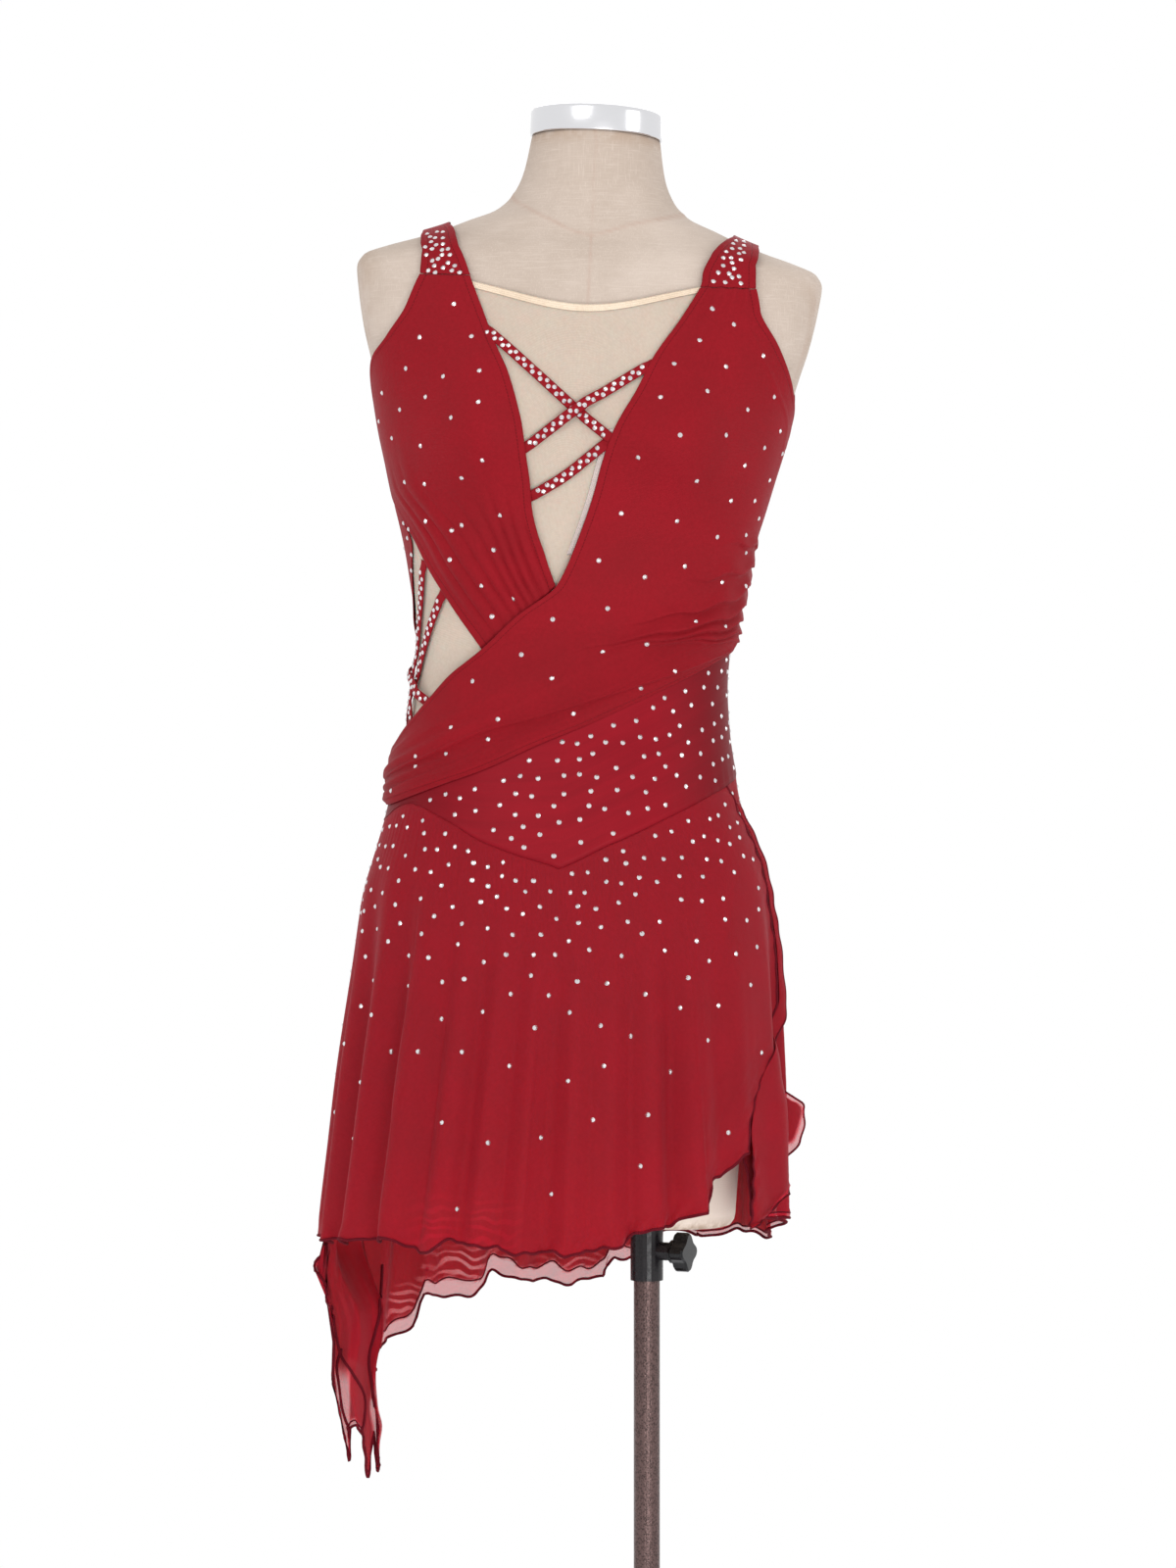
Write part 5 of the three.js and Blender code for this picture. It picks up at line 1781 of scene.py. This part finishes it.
BACK_EDGE = curves("drop angle", [
    [0, 380], [0.06, 375.5], [0.15, 373], [0.25, 372.3], [0.37, 371.6], [0.5, 372], [0.55, 375],
    [0.6, 380], [0.66, 386.5], [0.73, 390], [0.85, 390.5], [0.93, 389.6], [1, 389.2],
])
BUNCH = curves("level left right", [
    [-436, -170, -106], [-475, -165, -118], [-505, -159, -118], [-535, -160, -122],
    [-562, -153, -120], [-578, -151, -116], [-592, -146, -118], [-620, -145, -117],
])
RUFFLE = curves("drop round below lift", [
    [0, 1.6, 1, 1.2], [0.2, 2.0, 2, 1.2], [0.4, 2.0, 4, 1.2], [0.6, 2.2, 6, 1.5], [0.71, 3.5, 5, 4],
    [0.78, 12, 8, 6], [0.86, 22, 10, 12], [0.92, 23, 16, 11], [0.96, 17, 31, 8], [0.98, 8, 45, 6],
    [1, -3.5, 56, 5],
])
CORNER = SimpleNamespace(
    start=186, end=207, clear=212, share=0.24, y=16, wave=6, waves=1.6, top=-436, full=-492,
)
# A cover below 0.97 also brings in the mesh's painted light, its brighter thin colour.
THIN_COVER = 0.36  # the share of light that a single net stops
# Patches of moire: how strong, at which angle and how wide.
FRONT_MOIRE = [(0.35, 127, 6), (0.2, 104, 4), (0.3, 112, 4)]
BACK_MOIRE = [(1, 244, 9), (0.7, 275, 8), (0.8, 227, 4), (0.5, 300, 5)]
# Serged edges that wind over the drawn-together corner, as the photograph shows them in its pixels.
TAIL_LINES = [
    [(338, 1332), (341, 1354), (346, 1378), (360, 1402), (371, 1424), (371, 1449), (366, 1466)],
    [(390, 1290), (389, 1312), (387, 1340), (382, 1362), (376, 1384), (380, 1412), (383, 1436)],
    [(349, 1376), (343, 1392), (345, 1412), (349, 1440), (357, 1462)],
]


def corner_point(angle: Array, level: Array) -> Array:
    """The skirt's surface with its long corner drawn together into a folded bunch below the hem.

    Args:
        angle: degrees round the body.
        level: millimetres above the waist.

    Returns:
        Points in the leaning frame.
    """
    p = skirt_point(angle, level)
    s = (angle - CORNER.start) / (CORNER.end - CORNER.start)
    drawn = smooth(-level, -CORNER.top, -CORNER.full) * (1 - smooth(s, 0.9, 1.25))
    fold = CORNER.wave * np.sin(2 * np.pi * CORNER.waves * s)
    fold = fold + 1.2 * np.sin(2 * np.pi * 3.7 * s + level / 25)
    x = mix(BUNCH.left(level), BUNCH.right(level), s)
    bunch = np.stack([x, CORNER.y + 20 * s + fold, level + 0 * s], -1)
    flare = 9 * ridge(level, -454, 9) * (1 - smooth(s, 0, 0.12)) * smooth(-level, 440, 450)
    return mix(p, bunch, drawn[..., None]) - flare[..., None] * np.array([1, 0, 0])


def inner_line(sheet: Sheet, away: Array) -> tuple[Array, Array]:
    """The line at a distance above the bottom edge.

    Args:
        sheet: the cloth.
        away: the distance at each column, in millimetres.

    Returns:
        Its points and the sheet's normals there.
    """
    down = sheet.down()
    share = np.linspace(0, 1, len(down))
    t = np.array([np.interp(low[-1] - far, low, share) for low, far in zip(down.T, away)])
    return sheet.at(np.linspace(0, 1, down.shape[1]), t)


def frills(sheet: Sheet, low: tuple[float, float], side: tuple[float, float]) -> Array:
    """The frills of a sheet's bottom edge and of its last side edge.

    Args:
        sheet: the cloth.
        low: size and pitch along the bottom edge.
        side: size and pitch along the side edge.

    Returns:
        Heights.
    """
    down, across = sheet.down(), sheet.across()
    return lettuce(across, down[-1:] - down, *low) + lettuce(down, across[:, -1:] - across, *side)


def lettuce(along: Array, from_edge: Array, size: float, pitch: float) -> Array:
    """The frill of a serged edge: sine waves along it that die away within 14 mm of it.

    Args:
        along: millimetres along the edge.
        from_edge: millimetres from it.
        size: the waves' height.
        pitch: from wave to wave, in millimetres.

    Returns:
        Heights.
    """
    drift = 1.3 * np.sin(along / (1.7 * pitch)) + 0.6 * np.sin(along / (0.61 * pitch))
    wave = np.sin(2 * np.pi * along / pitch + drift)
    return size * wave * (1 - smooth(from_edge, 0, 14)) * (0.6 + 0.4 * np.sin(along / (2.3 * pitch)))


@dataclass
class Skirt:
    """The mesh skirt: front, back with its long corner, slit ruffle, serged edges and stones."""

    shop: Workshop

    def small_folds(self, angle: Array, drop: Array, small: float = 1.0) -> Array:
        """Puckers under the belt's seam, and small uneven folds further down.

        Args:
            angle: degrees round the body.
            drop: shares down.
            small: how strong the smallest folds are.

        Returns:
            Heights.
        """
        pucker = 0.15 * wander(angle, (1, 3.1, 0.2), (0.7, 5.3, 1.0))
        pucker = pucker * smooth(drop, 0, 0.03) * (1 - smooth(drop, 0.05, 0.25))
        slow = wander(angle, (1.0, 0.31, 0.5), (0.8, 0.173, 1.0)) * smooth(drop, 0.1, 0.7)
        fine = wander(angle, (0.4, 0.83, 0.0), (0.3, 1.37, 2.0), (0.15, 2.1, 0.7))
        return pucker + slow + small * fine * smooth(drop, 0.15, 0.8)

    def serge(self, name: str, sheet: Sheet, edges: dict[Side, str], radius: float = 1.15) -> None:
        """Serges some edges of a sheet."""
        for side, label in edges.items():
            self.shop.serge(f"{name}_{label}_serging", *sheet.edge(side), radius=radius)

    def front(self) -> Sheet:
        """The front, from the right side seam to the slit.

        Returns:
            The middle of its cloth.
        """
        s, t = grid(300, 110)
        plain = mix(RIGHT_SEAM, SLIT.angle(1.0), s)
        angle = plain + (SLIT.angle(t) - SLIT.angle(1.0)) * smooth(s, 0.72, 1)
        curl = wander(plain, (1.3, 0.42, 0.4), (0.9, 0.77, 1.0), (0.5, 1.33, 2.0))
        curl = curl * smooth(t, 0.92, 1)
        even = 0.25 * sum(FRONT_HEM.level(plain + step) for step in (-9, -3, 3, 9))
        level = mix(belt_seam(angle), mix(even, FRONT_HEM.level(plain), smooth(t, 0.87, 1)), t) + curl
        sheet = Sheet.facing_out(above(skirt_point, angle, level, MIDDLE))
        frill = frills(sheet, (2.0, 21), (0.8, 17))
        hanging = smooth(t, 0.12, 0.6)
        fold = 3.2 * crease(141.5 + 2 * (0.6 - t) - angle, 16, 0.03)
        fold = fold + 2.8 * crease(angle - 46.5 + 2 * (t - 0.7), 16, 0.03)
        fold = fold - 2.5 * ridge(angle, 145.5 + 2 * (0.6 - t), 2.6)
        fold = fold + 1.2 * crease(angle - 100, 9, 0.1)
        sheet = sheet.raised(self.small_folds(angle, t, 0.3) + frill + fold * hanging)
        # Below 0.97, the cover also brings in the mesh's painted light.
        cover = mix(0.97, 0.91, smooth(t, 0.45, 1.0))
        values = {"cover": cover, "moire": ridges(plain, FRONT_MOIRE) * smooth(t, 0.84, 0.93)}
        piece = cloth_object("skirt_front_cloth", sheet, values=values)
        self.shop.fit(piece, Finish.MESH, "red_mesh", stands_for=["skirt_front"])
        self.serge("front", sheet, {Side.BOTTOM: "hem", Side.LAST: "slit"})
        return sheet

    def back_values(
        self, plain: Array, level: Array, t: Array, across: Array, down: Array
    ) -> tuple[dict[str, Array], Array]:
        """How the back's net covers: thin in a strip along the hem, at the corner's rim and lobes.

        Args:
            plain: the angle of each column at the hem.
            level: of each point.
            t: shares down.
            across: millimetres from the side seam.
            down: millimetres from the belt.

        Returns:
            The point attributes, and the height of the strip at each column.
        """
        from_hem = down[-1:] - down
        seen = smooth(plain[-1], 203, 209) * (1 - smooth(plain[-1], 292, 312))
        strip = mix(4.0, 12 + 2.5 * np.sin(across[-1] / 9) + 1.5 * np.sin(across[-1] / 3.7), seen)
        outer = 1 - smooth(from_hem, strip - 1.5, strip + 1.5)
        tail = smooth(-level, 450, 500) * (plain < CORNER.clear)
        # Below 0.97, the cover also brings in the mesh's painted light.
        cover = mix(mix(0.96, 0.86, smooth(t, 0.35, 1.0)) - 0.02 * tail, THIN_COVER, outer)
        share = (plain - CORNER.start) / (CORNER.end - CORNER.start)
        lobes = smooth(np.abs(share - 0.56 - 0.08 * np.sin(level / 11)), 0.2, 0.27)
        lobes = lobes * smooth(-level, 528, 545) * (share < 1.02)
        rim = (1 - smooth(across, 4.5, 6.0)) * smooth(-level, 447, 455)
        cover = mix(cover, 0.44, np.maximum(rim * (0.65 + 0.35 * np.sin(level / 8)), lobes))
        rippled = smooth(from_hem, strip, strip + 4) * (1 - smooth(from_hem, 30, 44)) * seen
        return {"cover": cover, "moire": rippled * ridges(plain, BACK_MOIRE)}, strip

    def back(self) -> Sheet:
        """The back, from the right side seam with the long corner to the slit's other edge.

        Returns:
            The middle of its cloth.
        """
        s, t = grid(350, 130)
        in_corner = mix(RIGHT_SEAM + 0.4, CORNER.clear, s / CORNER.share)
        beyond = mix(CORNER.clear, BACK_EDGE.angle(1.0), (s - CORNER.share) / (1 - CORNER.share))
        plain = np.where(s < CORNER.share, in_corner, beyond)
        angle = plain + (BACK_EDGE.angle(t) - BACK_EDGE.angle(1.0)) * smooth(s, 0.84, 1)
        curl = wander(plain, (1.3, 0.38, 0.9), (1.0, 0.7, 1.6), (0.5, 1.25, 0.1)) * smooth(t, 0.93, 1)
        curl = curl * smooth(plain, CORNER.end, CORNER.clear) * (1 - 0.7 * smooth(plain, 338, 350))
        level = mix(belt_seam(angle), BACK_HEM.level(plain), t) + curl
        under = (2.4 + 4.6 * smooth(t, 0.4, 0.6)) * smooth(t, 0, 0.08)
        under = (1.2 + under * (1 - 0.8 * smooth(t, 0.8, 0.93))) * smooth(angle, 365, 372)
        points = above(corner_point, angle, level, MIDDLE)
        points[..., :2] -= unit(points[..., :2]) * under[..., None]
        sheet = Sheet.facing_out(points)
        down, across = sheet.down(), sheet.across()
        frill = frills(sheet, (1.8, 21), (0.9, 18))
        frill = frill * (1 - 0.6 * smooth(plain, 338, 350))
        frill = frill + lettuce(down, across, 1.5, 22) * smooth(t, 0.7, 0.8)
        calm = 1 - 0.7 * smooth(-level, 436, 490) * (s < CORNER.share)
        calm = calm * (1 - smooth(angle, 355, 365))
        sheet = sheet.raised(self.small_folds(angle, t) * calm + frill)
        values, strip = self.back_values(plain, level, t, across, down)
        piece = cloth_object("skirt_back_cloth", sheet, values=values)
        self.shop.fit(piece, Finish.MESH, "red_mesh", stands_for=["skirt_back"])
        self.shop.serge("back_lining_serging", *inner_line(sheet, strip), radius=0.7)
        self.serge("back", sheet, {Side.BOTTOM: "hem", Side.LAST: "slit"})
        path, normals = sheet.edge(Side.FIRST)
        start = int(0.66 * len(path))
        self.shop.serge("back_corner_serging", path[start:], normals[start:])
        for n, line in enumerate(TAIL_LINES):
            knots = np.array(line, float)
            path, normals = sighted([sheet], catmull(knots, np.linspace(0, 1, 16 * len(knots))))
            normals = normals * np.where(normals[:, 1:2] > 0, -1, 1)
            self.shop.serge(f"back_tail_serging_{n + 1}", path + normals * 0.7, normals)
        return sheet

    def ruffle(self) -> None:
        """The ruffle, from the slit's edge to its free side."""
        s, t = grid(36, 180)
        drop = mix(0.06, 1.0, t**0.75)
        plain = SLIT.angle(1.0)
        angle = SLIT.angle(drop)
        level = mix(belt_seam(angle), FRONT_HEM.level(plain), drop)
        lift = 1.0 + RUFFLE.lift(drop) * s**0.8
        angle, level = angle - 0.7 - RUFFLE.round(drop) * s, level - RUFFLE.below(drop) * s
        sheet = Sheet.facing_out(above(skirt_point, angle, level, MIDDLE + lift))
        down, across = sheet.down(), sheet.across()
        frill = lettuce(down, across[:, -1:] - across, 1.0, 23) * (0.5 + 1.3 * smooth(drop, 0.6, 0.8))
        sheet = sheet.raised(frill + lettuce(across, down[-1:] - down, 1.0, 15))
        free = across[:, -1:] - across
        strip = 9 * smooth(drop, 0.68, 0.76) * (1 - smooth(drop, 0.95, 0.99))
        thin = (1 - smooth(free, strip - 1, strip + 1)) * smooth(drop, 0.66, 0.72)
        # The thin strip also gets the mesh's painted light.
        cover = mix(0.93, THIN_COVER, thin)
        piece = cloth_object("slit_ruffle_cloth", sheet, values={"cover": cover})
        self.shop.fit(piece, Finish.MESH, "red_mesh", stands_for=["slit_ruffle"])
        self.serge("ruffle", sheet, {Side.LAST: "edge", Side.BOTTOM: "end"}, radius=0.85)

    def stones(self, sheet: Sheet, name: str, seed: int) -> None:
        """Stones strewn close under the belt and thinner towards the hem.

        Args:
            sheet: the cloth.
            name: the piece's name.
            seed: for their places.
        """
        s, t = strewn(
            sheet, lambda s, t: 9.3 + 52 * t**1.4,
            lambda s, t: (t > 0.03) & (t < 0.95) & (s > 0.01) & (s < 0.975), seed,
        )
        points, normals = sheet.at(s, t)
        self.shop.stones(name, points + normals * (CLOTH / 2), normals, 1.65, seed)

    def build(self) -> None:
        """Makes every piece of the skirt."""
        front = self.front()
        back = self.back()
        self.ruffle()
        self.stones(front, "skirt_front_stones", 21)
        self.stones(back, "skirt_back_stones", 22)


# ---------------------------------------------------------------- studio
LOOK_AT = (-0.05, 0, 0.95)
# The lights: name, place, size and power.
LIGHTS = [
    ("key", (-1.4, -2.8, 2.5), 1.5, 23.5), ("side", (2.6, -1.2, 1.5), 1.2, 8),
    ("low", (0.45, -2.2, 0.25), 0.9, 16), ("back", (0.4, 2.4, 2.4), 1.6, 14),
]
FLOOR_SIDES = 96


@dataclass
class Studio:
    """Floor, soft light and the camera."""

    def camera(self) -> None:
        """A level camera straight in front, whose frame is 0.9 by 1.2 m at the form."""
        data = bpy.data.cameras.new("camera")
        data.lens, data.sensor_width, data.clip_end = CAMERA.lens, 36.0, 50.0
        made = bpy.data.objects.new("camera", data)
        made.location = (CAMERA.x, -CAMERA.distance, CAMERA.z)
        made.rotation_euler = (math.pi / 2, 0, 0)
        bpy.context.scene.collection.objects.link(made)
        bpy.context.scene.camera = made

    def floor(self) -> None:
        """A round pale floor."""
        turn = np.linspace(0, 2 * np.pi, FLOOR_SIDES + 1)
        angle, reach = np.meshgrid(turn, [0.02, 0.5, 1.0, 1.5, 1.9])
        points = np.stack([reach * np.cos(angle), reach * np.sin(angle), 0 * angle - 0.0005], -1)
        cells, _ = grid_cells(*angle.shape, ring=True)
        flat = points[:, :-1].reshape(-1, 3)
        made = mesh_object("floor", flat, cells[:, ::-1], caps=[np.arange(FLOOR_SIDES)])
        sh = Shader("floor")
        cloud = sh.noise(sh.place(), 3.0)
        sh.dress(Base_Color=sh.blend(cloud, (0.8, 0.8, 0.83), (0.86, 0.86, 0.88)), Roughness=0.8)
        made.data.materials.append(sh.material)

    def light(self, name: str, place: Triple, size: float, power: float) -> None:
        """A square soft light that looks at the dress.

        Args:
            name: the light's name.
            place: in metres.
            size: of its side, in metres.
            power: in watts.
        """
        data = bpy.data.lights.new(name, "AREA")
        data.size, data.energy = size, power
        made = bpy.data.objects.new(name, data)
        made.location = place
        made.rotation_euler = (Vector(LOOK_AT) - Vector(place)).to_track_quat("-Z", "Y").to_euler()
        bpy.context.scene.collection.objects.link(made)

    def build(self) -> None:
        """Makes the floor, the lights and the pale surroundings."""
        self.camera()
        self.floor()
        for row in LIGHTS:
            self.light(*row)
        world = bpy.data.worlds.new("studio")
        world.use_nodes = True
        background = world.node_tree.nodes["Background"]
        background.inputs["Color"].default_value = (1, 1, 1, 1)
        background.inputs["Strength"].default_value = 1.0
        bpy.context.scene.world = world
        bpy.context.scene.view_settings.view_transform = "Standard"


def main() -> None:
    """Builds the studio, the stand, the form and the dress in turn."""
    logging.basicConfig(level=logging.INFO, format="%(name)s: %(message)s")
    Studio().build()
    shop = Workshop()
    Stand(shop).build()
    DressForm(shop).build()
    Bodice(shop).build()
    Belt(shop).build()
    Skirt(shop).build()


if __name__ == "__main__":
    main()
